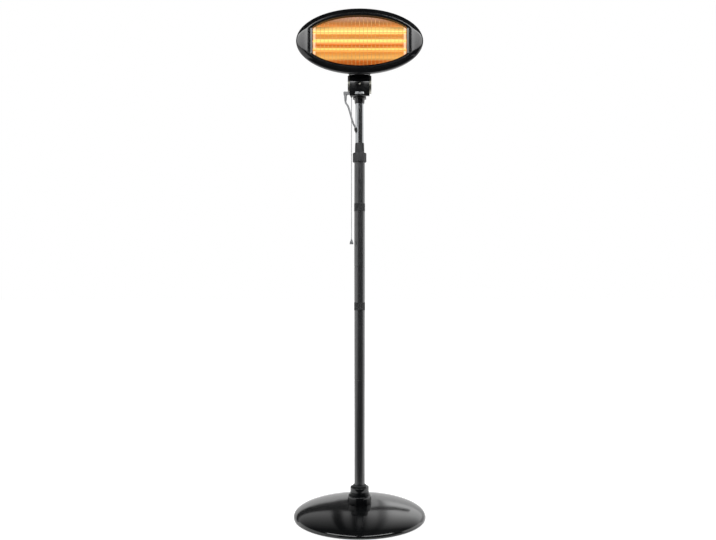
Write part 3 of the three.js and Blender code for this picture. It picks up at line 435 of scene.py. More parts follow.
def merged(name, pieces):
    """Joins several meshes into one piece."""
    clear()
    for piece in pieces:
        piece.select_set(True)
    bpy.context.view_layer.objects.active = pieces[0]
    bpy.ops.object.join()
    joined = bpy.context.object
    joined.name = joined.data.name = name
    return joined


def complete(piece, *nodes, material=None, angle=35):
    """Shades a piece, gives it its finish and its body, and hides the nodes that it stands for."""
    pick(piece)
    if piece.type == "MESH":
        bpy.ops.object.shade_smooth_by_angle(angle=math.radians(angle))
    piece.data.materials.clear()
    piece.data.materials.append(material or finish(SLOT_OF[nodes[0]]))
    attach(piece, BODY_OF[nodes[0]])
    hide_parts(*nodes)
    return piece


# ---- Finishes


def add_node(tree, kind, inputs=None, **settings):
    """Adds a node with its settings, and sets or links its inputs."""
    made = tree.nodes.new(kind)
    for name, value in settings.items():
        setattr(made, name, value)
    for name, value in (inputs or {}).items():
        if isinstance(value, bpy.types.NodeSocket):
            tree.links.new(value, made.inputs[name])
        else:
            made.inputs[name].default_value = value
    return made


def start_material(name, **sockets):
    """New material with its shader's plain values, and the place on the object in metres."""
    material = bpy.data.materials.new(name)
    material.use_nodes = True
    tree = material.node_tree
    shader = tree.nodes["Principled BSDF"]
    for socket, value in sockets.items():
        label = socket.replace("_", " ").title().replace("Ior", "IOR")
        shader.inputs[label].default_value = (*value, 1) if hasattr(value, "__len__") else value
    place = add_node(tree, "ShaderNodeTexCoord").outputs["Object"]
    return material, tree, shader, place


def grain(tree, place, feature, detail=2.0, **inputs):
    """Noise whose features are about as large as a length in metres."""
    return add_node(
        tree, "ShaderNodeTexNoise", {"Vector": place, "Scale": 1 / feature, "Detail": detail, **inputs}
    ).outputs["Fac"]


def relief(tree, shader, height, depth, strength=1.0):
    """Bump of a depth in metres on the shader."""
    bump = add_node(
        tree, "ShaderNodeBump", {"Height": height, "Distance": depth, "Strength": strength}
    ).outputs["Normal"]
    tree.links.new(bump, shader.inputs["Normal"])


def remap(tree, source, low, high, to_low=0.0, to_high=1.0):
    """A number carried over from one range to another, and kept within it."""
    ranges = {"Value": source, "From Min": low, "From Max": high, "To Min": to_low, "To Max": to_high}
    return add_node(tree, "ShaderNodeMapRange", ranges).outputs["Result"]


def calculate(tree, operation, first, second):
    """Result of one operation on two numbers."""
    return add_node(tree, "ShaderNodeMath", {0: first, 1: second}, operation=operation).outputs["Value"]


def split(tree, place):
    """X, Y and Z of a place."""
    return add_node(tree, "ShaderNodeSeparateXYZ", {"Vector": place}).outputs


def stretched(tree, place, *scale):
    """A place with its axes scaled, so that a pattern draws out along one of them."""
    return add_node(tree, "ShaderNodeMapping", {"Vector": place, "Scale": scale}).outputs["Vector"]


def vary(tree, shader, socket, source, low, high):
    """Lets a pattern move a number of the shader between two values."""
    tree.links.new(remap(tree, source, 0.0, 1.0, low, high), shader.inputs[socket])


def tint(tree, shader, source, first, second, socket="Base Color"):
    """Lets a pattern blend two colours of the shader."""
    mix = add_node(tree, "ShaderNodeMix", data_type="RGBA")
    mix.inputs[6].default_value = (*first, 1)
    mix.inputs[7].default_value = (*second, 1)
    tree.links.new(source, mix.inputs["Factor"])
    tree.links.new(mix.outputs[2], shader.inputs[socket])


def ramp(tree, source, low, high, stops):
    """Colours at places along a number, blended in between."""
    blend = add_node(tree, "ShaderNodeValToRGB", {"Fac": remap(tree, source, low, high)})
    elements = blend.color_ramp.elements
    while len(elements) < len(stops):
        elements.new(0.5)
    for element, (place, colour_there) in zip(elements, stops):
        element.position = (place - low) / (high - low)
        element.color = (*colour_there, 1)
    return blend.outputs["Color"]


def seen_directly(tree):
    """1 for a ray from the camera, from a mirror or through glass, and 0 for any other."""
    path = add_node(tree, "ShaderNodeLightPath").outputs
    seen = path["Is Camera Ray"]
    for ray in ("Is Glossy Ray", "Is Transmission Ray"):
        seen = calculate(tree, "MAXIMUM", seen, path[ray])
    return seen


def shade(value, factor):
    """A colour made lighter or darker."""
    return tuple(min(1.0, part * factor) for part in value)


def patchy(look, first, second, patches, rough=None, skin=None, warp=0.0):
    """Lets colour, and mostly gloss, wander in patches over a fine relief.

    Patches are (feature, detail), rough is the roughness from and to, and skin is (feature, depth, strength);
    a skin without a feature of its own rises and falls with the patches.
    """
    material, tree, shader, place = look
    patch = grain(tree, place, *patches, Distortion=warp)
    tint(tree, shader, patch, first, second)
    if rough:
        vary(tree, shader, "Roughness", patch, *rough)
    if skin:
        feature, depth, strength = skin
        relief(tree, shader, grain(tree, place, feature) if feature else patch, depth, strength)
    return material


def stoved_enamel(colours):
    """Stoved enamel on pressed steel: a wet gloss, with an orange peel so faint that only its reflections waver."""
    base = tuple(colours.enamel)
    look = start_material("stoved_enamel", base_color=base, roughness=0.09, ior=1.5)
    return patchy(look, base, shade(base, 1.5), (60 * MM, 6.0), (0.07, 0.15), (9 * MM, 0.05 * MM, 0.25))


def powder_coat(colours):
    """Polyester powder coat on steel tube: a satin skin with a fine, even pebble."""
    base = tuple(colours.powder_coat)
    look = start_material("powder_coat", base_color=base, roughness=0.3, ior=1.75)
    return patchy(look, base, shade(base, 1.4), (45 * MM, 5.0), (0.26, 0.36), (1.2 * MM, 0.03 * MM, 0.3))


def polished_abs(colours):
    """ABS from a polished mould: deep gloss black, very slightly rippled."""
    base = tuple(colours.gloss_moulding)
    look = start_material("polished_abs", base_color=base, roughness=0.12, ior=1.53)
    return patchy(look, base, shade(base, 1.4), (40 * MM, 6.0), (0.1, 0.16), (25 * MM, 0.1 * MM, 0.15))


def textured_nylon(colours):
    """Nylon from a spark-eroded mould: matte, with a grain that holds a little dust."""
    base = tuple(colours.matte_moulding)
    material, tree, shader, place = start_material("textured_nylon", base_color=base, roughness=0.55, ior=1.53)
    grit = grain(tree, place, 0.9 * MM)
    relief(tree, shader, grit, 0.06 * MM, 0.6)
    vary(tree, shader, "Roughness", grit, 0.5, 0.66)
    tint(tree, shader, grain(tree, place, 30 * MM, 6.0), base, shade(base, 1.5))
    return material


def heatproof_moulding(colours):
    """Glass-filled polyester: satin black, with faint flow marks across the housing."""
    base = tuple(colours.heatproof_moulding)
    look = start_material("heatproof_moulding", base_color=base, roughness=0.38, ior=1.53)
    return patchy(look, base, shade(base, 1.4), (70 * MM, 4.0), (0.34, 0.46), (1.0 * MM, 0.04 * MM, 0.45), 1.2)


def grey_moulding(colours):
    """Grey polypropylene: soft sheen, a little grubby where fingers pull it."""
    base = tuple(colours.grey_moulding)
    look = start_material("grey_moulding", base_color=base, roughness=0.42, ior=1.49)
    return patchy(look, base, shade(base, 0.75), (6 * MM, 4.0), skin=(0.7 * MM, 0.03 * MM, 0.5))


def braided_polyester(colours):
    """Braided polyester line: small diagonal plaits, two ways round the cord."""
    base = tuple(colours.braid)
    material, tree, shader, place = start_material("braided_polyester", base_color=base, roughness=0.75)
    along = stretched(tree, place, 1.0, 1.0, 0.5)
    plait = add_node(
        tree,
        "ShaderNodeTexWave",
        {"Vector": along, "Scale": 1 / (2.4 * MM), "Distortion": 1.5, "Detail": 1.0},
        bands_direction="DIAGONAL",
    ).outputs["Fac"]
    relief(tree, shader, plait, 0.2 * MM, 0.8)
    # Darker in the grooves between the plaits: painted shade.
    tint(tree, shader, plait, shade(base, 0.7), base)
    return material


def extruded_sheath(colours):
    """Extruded rubber sheath of a flexible lead: dull, with a slightly wavering surface."""
    base = tuple(colours.sheath)
    look = start_material("extruded_sheath", base_color=base, roughness=0.48, ior=1.52)
    return patchy(look, base, shade(base, 1.25), (5 * MM, 3.0), skin=(None, 0.08 * MM, 0.5))


def moulded_rubber(colours):
    """Moulded rubber: black and dull, with a dusty bloom."""
    base = tuple(colours.rubber)
    look = start_material("moulded_rubber", base_color=base, roughness=0.7, ior=1.52)
    return patchy(look, base, shade(base, 1.8), (8 * MM, 5.0), (0.6, 0.8), (0.8 * MM, 0.05 * MM, 0.5))


def chrome_plate(colours):
    """Bright chrome on polished steel tube: a mirror with hair-fine lines along the tube."""
    base = linear("#bcbec0")
    material, tree, shader, place = start_material("chrome_plate", base_color=base, metallic=1.0, roughness=0.1)
    hair = grain(tree, stretched(tree, place, 1.0, 1.0, 0.02), 0.8 * MM, 3.0)
    vary(tree, shader, "Roughness", hair, 0.07, 0.15)
    tint(tree, shader, grain(tree, place, 25 * MM, 5.0), base, shade(base, 0.85))
    return material


def zinc_plate(colours):
    """Zinc-plated steel: grey metal with a clouded, slightly yellow passivation."""
    base = linear("#b4b5b3")
    look = start_material("zinc_plate", base_color=base, metallic=1.0, roughness=0.38)
    return patchy(look, base, linear("#a39f8c"), (7 * MM, 5.0), (0.3, 0.5), (0.9 * MM, 0.02 * MM, 0.4))


def nickel_wire(colours):
    """Nickel-plated wire: warm metal, dulled by the heat; its straw colour is partly heat tint and partly painted
    warm light from the glowing tubes behind the guard.
    """
    # Painted light in part: the warm base stands in for the tubes' glow on the wires, as well as their heat tint.
    base = linear("#cfac74")
    look = start_material("nickel_wire", base_color=base, metallic=1.0, roughness=0.55)
    return patchy(look, base, linear("#cc9c5e"), (20 * MM, 3.0), (0.5, 0.65))


def reflector_sheet(colours):
    """Bright rolled aluminium with a warm painted tint and painted glow in soft level bands, which stand in for the
    tubes' light and reflections; its own back gets no painted glow and stays dark.
    """
    gold = tuple(colours.reflector_painted_glow)
    # Painted light: the warm brown base, and its tint towards the glow colour, stand in for the tubes' light on grey
    # aluminium.
    sheet = linear("#6e5d45")
    material, tree, shader, place = start_material(
        "reflector_sheet", base_color=sheet, metallic=1.0, roughness=0.3
    )
    axes = split(tree, place)
    low, high, middle, _ = span("reflector")
    back = high.y
    # Painted glow on the sheet's front, which is no lamp; its back gets none.
    lit = remap(tree, axes["Y"], back - 0.8 * MM, back - 0.4 * MM, 0.85, 0.0)
    tree.links.new(lit, shader.inputs["Emission Strength"])
    rolled = grain(tree, stretched(tree, place, 0.06, 1.0, 1.0), 3 * MM, 3.0)
    relief(tree, shader, rolled, 0.1 * MM, 0.5)
    uneven = remap(tree, rolled, 0.0, 1.0, 0.85, 1.1)
    # Painted reflections and glow of the tubes in level bands, a little uneven along the rolling marks.
    bands = ramp(tree, axes["Z"], low.z, high.z, painted_reflection_bands(low.z, high.z, middle.z))
    glow = add_node(tree, "ShaderNodeVectorMath", {0: bands, "Scale": uneven}, operation="SCALE")
    tree.links.new(glow.outputs["Vector"], shader.inputs["Emission Color"])
    tint(tree, shader, rolled, sheet, shade(gold, 0.5))
    return material


def painted_reflection_bands(foot, top, middle):
    """Height and colour of each band of painted glow: flanks beyond the folds, a painted highlight behind a tube,
    painted shade between two.
    """
    # Colours of the painted reflections and glow of the tubes.
    ember, russet, amber, copper, bronze = map(linear, ("#4c1c0c", "#9c4a14", "#a85006", "#c88438", "#b4823e"))
    gold, straw, apricot, sienna, peach = map(linear, ("#e0a650", "#f4ce78", "#f2a264", "#ac7644", "#e6b6a0"))
    upper, centre, lower = (span(f"quartz_tube_{number}")[2].z for number in (1, 2, 3))
    fold = bpy.context.scene.heater_head.reflector_fold
    return (
        (foot, ember),
        (middle - fold - 1 * MM, russet),
        (middle - fold + 9 * MM, gold),
        (lower - 2 * MM, bronze),
        (lower + 10 * MM, copper),
        (lower + 18 * MM, amber),
        (centre - 9 * MM, amber),
        (centre - 4 * MM, apricot),
        (centre + 3 * MM, apricot),
        (centre + 17 * MM, bronze),
        (upper - 5 * MM, bronze),
        (upper + 1 * MM, straw),
        (upper + 16 * MM, straw),
        (middle + fold + 4 * MM, sienna),
        (middle + fold + 12 * MM, sienna),
        (top, peach),
    )


def lit_end_plate(colours):
    """Bright aluminium end plate with a painted peach glow, which stands in for the light from the ends of the tubes.
    """
    base = linear("#8c7c6a")
    material, tree, shader, place = start_material("lit_end_plate", base_color=base, metallic=1.0, roughness=0.3)
    # Painted glow: the plate is no lamp.
    shader.inputs["Emission Strength"].default_value = 0.9
    patch = grain(tree, place, 18 * MM, 3.0)
    tint(tree, shader, patch, linear("#ffdcc0"), linear("#ffc79c"), "Emission Color")
    relief(tree, shader, grain(tree, place, 2 * MM), 0.05 * MM, 0.4)
    return material


def glowing_quartz(colours):
    """Clear drawn quartz round a hot coil: it carries the glow along its wall, yellower in the upper tube."""
    glow = tuple(colours.tube_glow)
    material, tree, shader, place = start_material("glowing_quartz", base_color=glow, roughness=0.08, ior=1.46)
    shader.inputs["Transmission Weight"].default_value = 0.35
    shader.inputs["Emission Strength"].default_value = 0.72
    lowest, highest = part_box("quartz_tube_3")[0].z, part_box("quartz_tube_1")[1].z
    level = remap(tree, split(tree, place)["Z"], lowest, highest)
    tint(tree, shader, level, linear("#f6b264"), glow, "Emission Color")
    return material


def hot_wire(colours):
    """Resistance wire at about a thousand degrees: yellow-white, cooler where the turns bunch."""
    glow = tuple(colours.coil_glow)
    material, tree, shader, place = start_material("hot_wire", base_color=glow, roughness=0.6)
    shader.inputs["Emission Strength"].default_value = 1.0
    heat = grain(tree, place, 25 * MM, 2.0)
    tint(tree, shader, heat, glow, linear("#ffbe70"), "Emission Color")
    return material


def steatite(colours):
    """Unglazed steatite: chalky off-white with fine specks."""
    base = linear("#e9e4d9")
    look = start_material("steatite", base_color=base, roughness=0.75)
    return patchy(look, base, linear("#cfc7b6"), (1.5 * MM, 4.0), skin=(None, 0.05 * MM, 0.5))


def cast_concrete(colours):
    """Cast concrete ballast: grey, gritty, with small air holes."""
    look = start_material("cast_concrete", base_color=linear("#8d8b86"), roughness=0.9)
    return patchy(look, linear("#6f6d68"), linear("#a5a29b"), (4 * MM, 8.0), skin=(None, 0.6 * MM, 0.7))


FINISHES = {
    "gloss_enamel": stoved_enamel,
    "satin_paint": powder_coat,
    "gloss_moulding": polished_abs,
    "matte_moulding": textured_nylon,
    "heatproof_moulding": heatproof_moulding,
    "grey_moulding": grey_moulding,
    "grey_cord": braided_polyester,
    "grey_sheath": extruded_sheath,
    "rubber": moulded_rubber,
    "chrome_plate": chrome_plate,
    "zinc_steel": zinc_plate,
    "guard_wire": nickel_wire,
    "bright_aluminium": reflector_sheet,
    "quartz": glowing_quartz,
    "hot_coil": hot_wire,
    "ceramic": steatite,
    "concrete": cast_concrete,
}
made_finishes = {}


def finish(slot, maker=None):
    """The material of a slot, made once; a maker of its own gives a variant."""
    maker = maker or FINISHES[slot]
    if maker not in made_finishes:
        made_finishes[maker] = maker(bpy.context.scene.heater_colours)
    return made_finishes[maker]


# ---- Operators


class HEATER_OT_stage(bpy.types.Operator):
    """Adds the camera, the floor, the lamps, the cards and the even light"""

    bl_idname = "heater.stage"
    bl_label = "Stage"

    def execute(self, context):
        stage = context.scene.heater_stage
        clear()
        bpy.ops.object.camera_add(
            location=(stage.camera_shift, -stage.camera_distance, stage.camera_height),
            rotation=(math.pi / 2, 0, 0),
        )
        camera = context.object
        camera.data.lens = stage.lens
        camera.data.sensor_width = 36
        context.scene.camera = camera
        self.floor()
        self.lamps(stage)
        self.cards()
        self.surround(context.scene, stage)
        context.scene.view_settings.view_transform = "Standard"
        return {"FINISHED"}

    def floor(self):
        """Pale floor that looks white to the camera but keeps the heater's shadow."""
        ground = begin("ground", bpy.ops.mesh.primitive_plane_add, size=40, location=(0, 0, 0))
        material, tree, shader, place = start_material("pale_floor", base_color=linear("#e4e4e4"), roughness=0.9)
        shader.inputs["Specular IOR Level"].default_value = 0.0
        lift = calculate(tree, "MULTIPLY", seen_directly(tree), 0.8)
        tree.links.new(lift, shader.inputs["Emission Strength"])
        shader.inputs["Emission Color"].default_value = (1, 1, 1, 1)
        patch = grain(tree, place, 0.8, 2.0)
        tint(tree, shader, patch, linear("#e2e2e2"), linear("#e6e6e6"))
        ground.data.materials.append(material)

    def lamp(self, name, place, target, width, height, power):
        """Soft rectangular lamp that faces a target."""
        clear()
        bpy.ops.object.light_add(type="AREA", location=place)
        lamp = bpy.context.object
        lamp.name = name
        lamp.rotation_euler = (Vector(target) - Vector(place)).to_track_quat("-Z", "Z").to_euler()
        lamp.data.shape = "RECTANGLE"
        lamp.data.size = width
        lamp.data.size_y = height
        lamp.data.energy = power
        lamp.visible_glossy = False

    def lamps(self, stage):
        """A lamp high on each side and one above, none of which a gloss shows."""
        for side in (-1, 1):
            self.lamp(
                f"side_lamp_{side + 2}", (side * 2.3, -1.9, 3.7), (0, 0, 1.2), 0.8, 1.5, stage.side_power
            )
        self.lamp("top_lamp", (0, 0.6, 3.4), (0, 0, 0.6), 1.6, 1.6, stage.top_power)

    def card(self, name, place, turn, width, height, material):
        """Card that only reflections show."""
        card = begin(name, bpy.ops.mesh.primitive_plane_add, size=1, location=place, rotation=turn)
        card.scale = (width, height, 1)
        settle(card)
        card.data.materials.append(material)
        for ray in ("camera", "diffuse", "transmission", "volume_scatter", "shadow"):
            setattr(card, f"visible_{ray}", False)

    def glowing_card(self, name, strength):
        """Plain material of a card that glows at a strength."""
        material, tree, shader, place = start_material(name, base_color=(0, 0, 0), roughness=1.0)
        shader.inputs["Specular IOR Level"].default_value = 0.0
        shader.inputs["Emission Color"].default_value = (1, 1, 1, 1)
        shader.inputs["Emission Strength"].default_value = strength
        return material, tree, shader, place

    def cards(self):
        """Dark and bright cards whose reflections model the glossy black pieces."""
        upright = math.pi / 2
        dark = self.glowing_card("dark_card", 0.05)[0]
        for name, place, turn, width, height in (
            ("front_card", (0.3, -3.6, 1.9), (upright, 0, 0), 5.8, 3.8),
            ("right_card", (3.2, -2.2, 1.9), (upright, 0, upright), 2.8, 3.8),
            ("floor_card", (0.3, -1.9, 0.002), (0, 0, 0), 5.0, 3.2),
            ("back_left_card", (-2.0, 3.2, 1.25), (upright, 0, 0), 4.0, 0.6),
            ("back_right_card", (0.5, 3.2, 1.35), (upright, 0, 0), 0.9, 0.26),
        ):
            self.card(name, place, turn, width, height, dark)
        soft = self.fading_card()
        head = Vector((0, -0.09, 1.78))
        for side, strength in ((-1, 1.6), (1, 2.0)):
            direction = Vector((side * 1.6, -2.1, 1.5))
            turn = direction.to_track_quat("Z", "Y").to_euler()
            self.card(f"soft_card_{side + 2}", head + direction, turn, 3.3, 1.6, soft)
            flank = self.glowing_card(f"flank_card_{side + 2}", strength)[0]
            self.card(f"wall_card_{side + 2}", (side * 4.2, 0.2, 0.9), (upright, 0, upright), 6.0, 1.8, flank)
            self.card(f"strip_card_{side + 2}", (side * 1.55, 1.1, 0.004), (0, 0, 0), 2.1, 2.8, flank)
        self.card("ceiling_card", (0, 4.3, 3.3), (0, 0, 0), 12.0, 15.4, self.ceiling())

    def fading_card(self):
        """Bright card that is dark at its foot, so that its reflection has no hard lower edge."""
        brightest = 8.5
        material, tree, shader, place = self.glowing_card("soft_card", brightest)
        fade = remap(tree, split(tree, place)["Z"], 2.42, 2.95, 0.0, brightest)
        tree.links.new(fade, shader.inputs["Emission Strength"])
        return material

    def ceiling(self):
        """Overhead light: darker in front, brighter on the right, with dark gaps between its panels."""
        material, tree, shader, place = self.glowing_card("ceiling_panels", 1.0)
        axes = split(tree, place)
        depth = remap(tree, axes["Y"], 1.0, 6.0, 0.05, 1.0)
        side = remap(tree, axes["X"], -0.2, 1.2, 0.65, 1.8)
        panels = (
            (-0.84, 1.0),
            (-0.76, 0.06),
            (-0.52, 0.06),
            (-0.42, 0.9),
            (-0.26, 0.9),
            (-0.18, 0.06),
            (0.16, 0.06),
            (0.24, 0.9),
            (0.48, 0.8),
            (0.6, 0.35),
            (0.76, 0.5),
            (0.9, 1.0),
        )
        across = ramp(tree, axes["X"], -1.0, 1.0, [(x, (level, level, level)) for x, level in panels])
        level = calculate(tree, "MULTIPLY", calculate(tree, "MULTIPLY", depth, side), across)
        tree.links.new(level, shader.inputs["Emission Strength"])
        return material

    def surround(self, scene, stage):
        """Even light all round, which is white where it is seen or mirrored."""
        world = bpy.data.worlds.new("studio_white")
        world.use_nodes = True
        scene.world = world
        tree = world.node_tree
        plain = tree.nodes["Background"]
        plain.inputs["Color"].default_value = (1, 1, 1, 1)
        plain.inputs["Strength"].default_value = stage.fill
        white = add_node(tree, "ShaderNodeBackground", {"Color": (1, 1, 1, 1), "Strength": 1.0})
        mix = add_node(
            tree,
            "ShaderNodeMixShader",
            {0: seen_directly(tree), 1: plain.outputs["Background"], 2: white.outputs["Background"]},
        )
        tree.links.new(mix.outputs["Shader"], tree.nodes["World Output"].inputs["Surface"])


# Middle line of the lead from the boot to its grommet: across, back, and down from the control box's lowest point.
LEAD_ROUTE = (
    (-0.0530, -0.0260, -0.0182),
    (-0.0526, -0.0260, -0.0225),
    (-0.0506, -0.0262, -0.0275),
    (-0.0472, -0.0264, -0.0320),
    (-0.0439, -0.0265, -0.0375),
    (-0.0413, -0.0266, -0.0440),
    (-0.0390, -0.0266, -0.0510),
    (-0.0369, -0.0265, -0.0580),
    (-0.0348, -0.0263, -0.0655),
    (-0.0327, -0.0259, -0.0730),
    (-0.0306, -0.0252, -0.0805),
    (-0.0284, -0.0240, -0.0880),
    (-0.0261, -0.0222, -0.0950),
    (-0.0230, -0.0190, -0.1025),
    (-0.0186, -0.0147, -0.1106),
    (-0.0157, -0.0122, -0.1176),
    (-0.0128, -0.0096, -0.1246),
    (-0.0099, -0.0070, -0.1316),
)
LEAD_DIAMETER = 7 * MM
PULL_CORD_DIAMETER = 2.5 * MM


def box_foot(sizes):
    """Height of the control box's lowest point."""
    return TILT_AXIS.z - sizes.drop


def underside(sizes, y):
    """Height of the control box's raked underside at a place along Y."""
    corner = sizes.front_corner
    front = corner - CAD_FRONT
    return box_foot(sizes) + corner - corner / math.cos(sizes.rake) + (y - front) * math.tan(sizes.rake)


def empty_curve(name):
    """Curve in space that has no line yet."""
    clear()
    bpy.ops.curve.primitive_bezier_curve_add()
    curve = bpy.context.object
    curve.name = curve.data.name = name
    curve.location = (0, 0, 0)
    curve.data.splines.clear()
    curve.data.dimensions = "3D"
    return curve


def flexible(name, points, diameter):
    """Round cord along a smooth line through the points."""
    cord = empty_curve(name)
    line = cord.data
    spline = line.splines.new("BEZIER")
    spline.bezier_points.add(len(points) - 1)
    for knot, point in zip(spline.bezier_points, points):
        knot.co = point
        knot.handle_left_type = knot.handle_right_type = "AUTO"
    line.bevel_depth = diameter / 2
    line.bevel_resolution = 6
    line.resolution_u = 6
    line.use_fill_caps = True
    return cord


class HEATER_OT_mains_lead(bpy.types.Operator):
    """Lays the mains lead from its boot into the upper tube"""

    bl_idname = "heater.mains_lead"
    bl_label = "Mains lead"

    def execute(self, context):
        foot = box_foot(context.scene.heater_box)
        points = [Vector((x, y, foot + z)) for x, y, z in LEAD_ROUTE]
        lead = flexible("lead", points, LEAD_DIAMETER)
        complete(lead, "mains_lead")
        boot = self.boot(points[0])
        return {"FINISHED"}

    def boot(self, end):
        """Tapered strain relief with flexing grooves."""
        low, high, _, wide = span("lead_boot")
        grooves = 4
        length = high.z - low.z - 4 * MM
        profile = [(LEAD_DIAMETER / 2 + 0.1 * MM, low.z), (4.3 * MM, low.z)]
        for groove in range(grooves):
            start = low.z + length * (groove + 0.35) / grooves
            radius = 4.3 * MM + 1.5 * MM * (groove + 0.5) / grooves
            profile += [(radius, start), (radius - 0.9 * MM, start + 0.6 * MM), (radius - 0.9 * MM, start + 1.8 * MM)]
            profile += [(radius + 0.2 * MM, start + 2.4 * MM)]
        profile += [(wide - 1.4 * MM, high.z - 3.5 * MM), (wide, high.z - 2.8 * MM), (wide, high.z)]
        profile += [(LEAD_DIAMETER / 2 + 0.1 * MM, high.z)]
        boot = turned("strain_relief", profile, sides=SMALL_ROUND)
        soften(boot, 0.3 * MM, 2)
        shift(boot, end)
        return complete(boot, "lead_boot", material=finish("grey_sheath"))


class HEATER_OT_pull_cord(bpy.types.Operator):
    """Hangs the pull cord from its ferrule, with the knob at its end"""

    bl_idname = "heater.pull_cord"
    bl_label = "Pull cord"

    def execute(self, context):
        low, high, middle, wide = span("pull_knob")
        ferrule_low, ferrule_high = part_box("pull_ferrule")
        points = 18
        inside = 14 * MM
        top, foot = ferrule_low.z + inside, high.z - 3 * MM
        line = [Vector((middle.x, middle.y, top + (foot - top) * i / (points - 1))) for i in range(points)]
        cord = flexible("pull_line", line, PULL_CORD_DIAMETER)
        complete(cord, "pull_cord")
        knob = self.knob(low, high, middle, wide)
        self.ferrule(ferrule_low, ferrule_high, middle, context.scene.heater_box)
        return {"FINISHED"}

    def knob(self, low, high, middle, wide):
        """Bell-shaped knob, hollow underneath."""
        tall = high.z - low.z
        bell = [
            (wide - 2.2 * MM, low.z + 2.5 * MM),
            (wide - 1.4 * MM, low.z + 0.2 * MM),
            (wide - 0.6 * MM, low.z),
            (wide, low.z + 1.2 * MM),
            (wide - 0.3 * MM, low.z + 4 * MM),
            (wide - 1.6 * MM, low.z + 0.42 * tall),
            (wide * 0.56, low.z + 0.64 * tall),
            (wide * 0.42, low.z + 0.8 * tall),
            (wide * 0.36, high.z - 1.6 * MM),
            (wide * 0.3, high.z - 0.4 * MM),
            (PULL_CORD_DIAMETER / 2, high.z),
            (PULL_CORD_DIAMETER / 2, low.z + 0.5 * tall),
            (wide - 3 * MM, low.z + 0.4 * tall),
        ]
        knob = turned("bell_knob", bell, sides=SMALL_ROUND)
        modify(knob, "SUBSURF", levels=1, render_levels=1)
        shift(knob, middle)
        return complete(knob, "pull_knob")

    def ferrule(self, low, high, middle, sizes):
        """Plated bush that the cord comes out of."""
        bore = PULL_CORD_DIAMETER / 2 + 0.6 * MM
        neck = 3.6 * MM
        lip = (high.x - low.x) / 2
        lip_top = underside(sizes, middle.y - lip) - 0.3 * MM
        profile = [
            (bore, low.z + 0.5 * MM),
            (bore + 0.3 * MM, low.z),
            (bore + 0.9 * MM, low.z),
            (neck, low.z + 0.9 * MM),
            (neck, lip_top - 2.2 * MM),
            (lip - 0.4 * MM, lip_top - 2.2 * MM),
            (lip, lip_top - 1.8 * MM),
            (lip, lip_top),
            (neck, lip_top),
            (neck, high.z),
            (bore, high.z),
        ]
        ferrule = turned("cord_ferrule", profile, sides=SMALL_ROUND)
        shift(ferrule, middle)
        complete(ferrule, "pull_ferrule")


class HEATER_OT_base(bpy.types.Operator):
    """Draws the domed cover and its feet"""

    bl_idname = "heater.base"
    bl_label = "Base"

    def execute(self, context):
        sizes = context.scene.heater_base
        low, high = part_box("base_cover")
        wide, crown = high.x, high.z
        bead = sizes.rim_bead
        profile = arc(wide - bead, low.z + bead, bead, -80, 0, 4)
        steps = 28
        for step in range(steps + 1):
            angle = math.radians(90 * (1 - step / steps))
            radius = sizes.crown_radius + (wide - sizes.crown_radius) * math.sin(angle)
            profile.append((radius, sizes.rim_height + (crown - sizes.rim_height) * math.cos(angle)))
        profile += [(0.6 * sizes.crown_radius, crown), (sizes.bolt_hole, crown)]
        cover = turned("domed_cover", profile, sides=180, ends="open")
        thicken(cover, sizes.cover_wall)
        complete(cover, "base_cover", angle=50)
        for number in range(1, 6):
            self.foot(number)
        return {"FINISHED"}

    def foot(self, number):
        """Rubber foot with a rounded tread and a groove round it."""
        _, high, middle, wide = span(f"foot_{number}")
        profile = [
            (wide - 3 * MM, 0),
            (wide - 1.2 * MM, 0.3 * MM),
            (wide - 0.2 * MM, 1.4 * MM),
            (wide - 0.5 * MM, 3.0 * MM),
            (wide - 1.6 * MM, 3.6 * MM),
            (wide - 1.6 * MM, 4.4 * MM),
            (wide - 2.5 * MM, high.z),
        ]
        foot = turned(f"rubber_foot_{number}", profile, sides=SMALL_ROUND, ends="capped")
        shift(foot, middle)
        complete(foot, f"foot_{number}")


class HEATER_OT_collar(bpy.types.Operator):
    """Turns the flange, the collar and the ring that step up to the pole"""

    bl_idname = "heater.collar"
    bl_label = "Stepped collar"

    def execute(self, context):
        sizes = context.scene.heater_base
        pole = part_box("pole_bottom")[1].x + 0.3 * MM
        for name, node, fillet in (
            ("flange_cup", "base_flange", sizes.flange_fillet),
            ("collar_cup", "base_collar", sizes.collar_fillet),
            ("top_ring", "collar_ring", 1.5 * MM),
        ):
            low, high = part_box(node)
            wide = high.x
            foot_round = 0.8 * MM
            profile = [(wide - 4 * MM, low.z), *arc(wide - foot_round, low.z + foot_round, foot_round, -90, 0, 3)]
            profile += arc(wide - fillet, high.z - fillet, fillet, 0, 90, 7)
            profile += [(pole + 0.8 * MM, high.z), (pole, high.z - 0.6 * MM), (pole, high.z - 5 * MM)]
            cup = turned(name, profile, ends="joined")
            complete(cup, node)
        return {"FINISHED"}


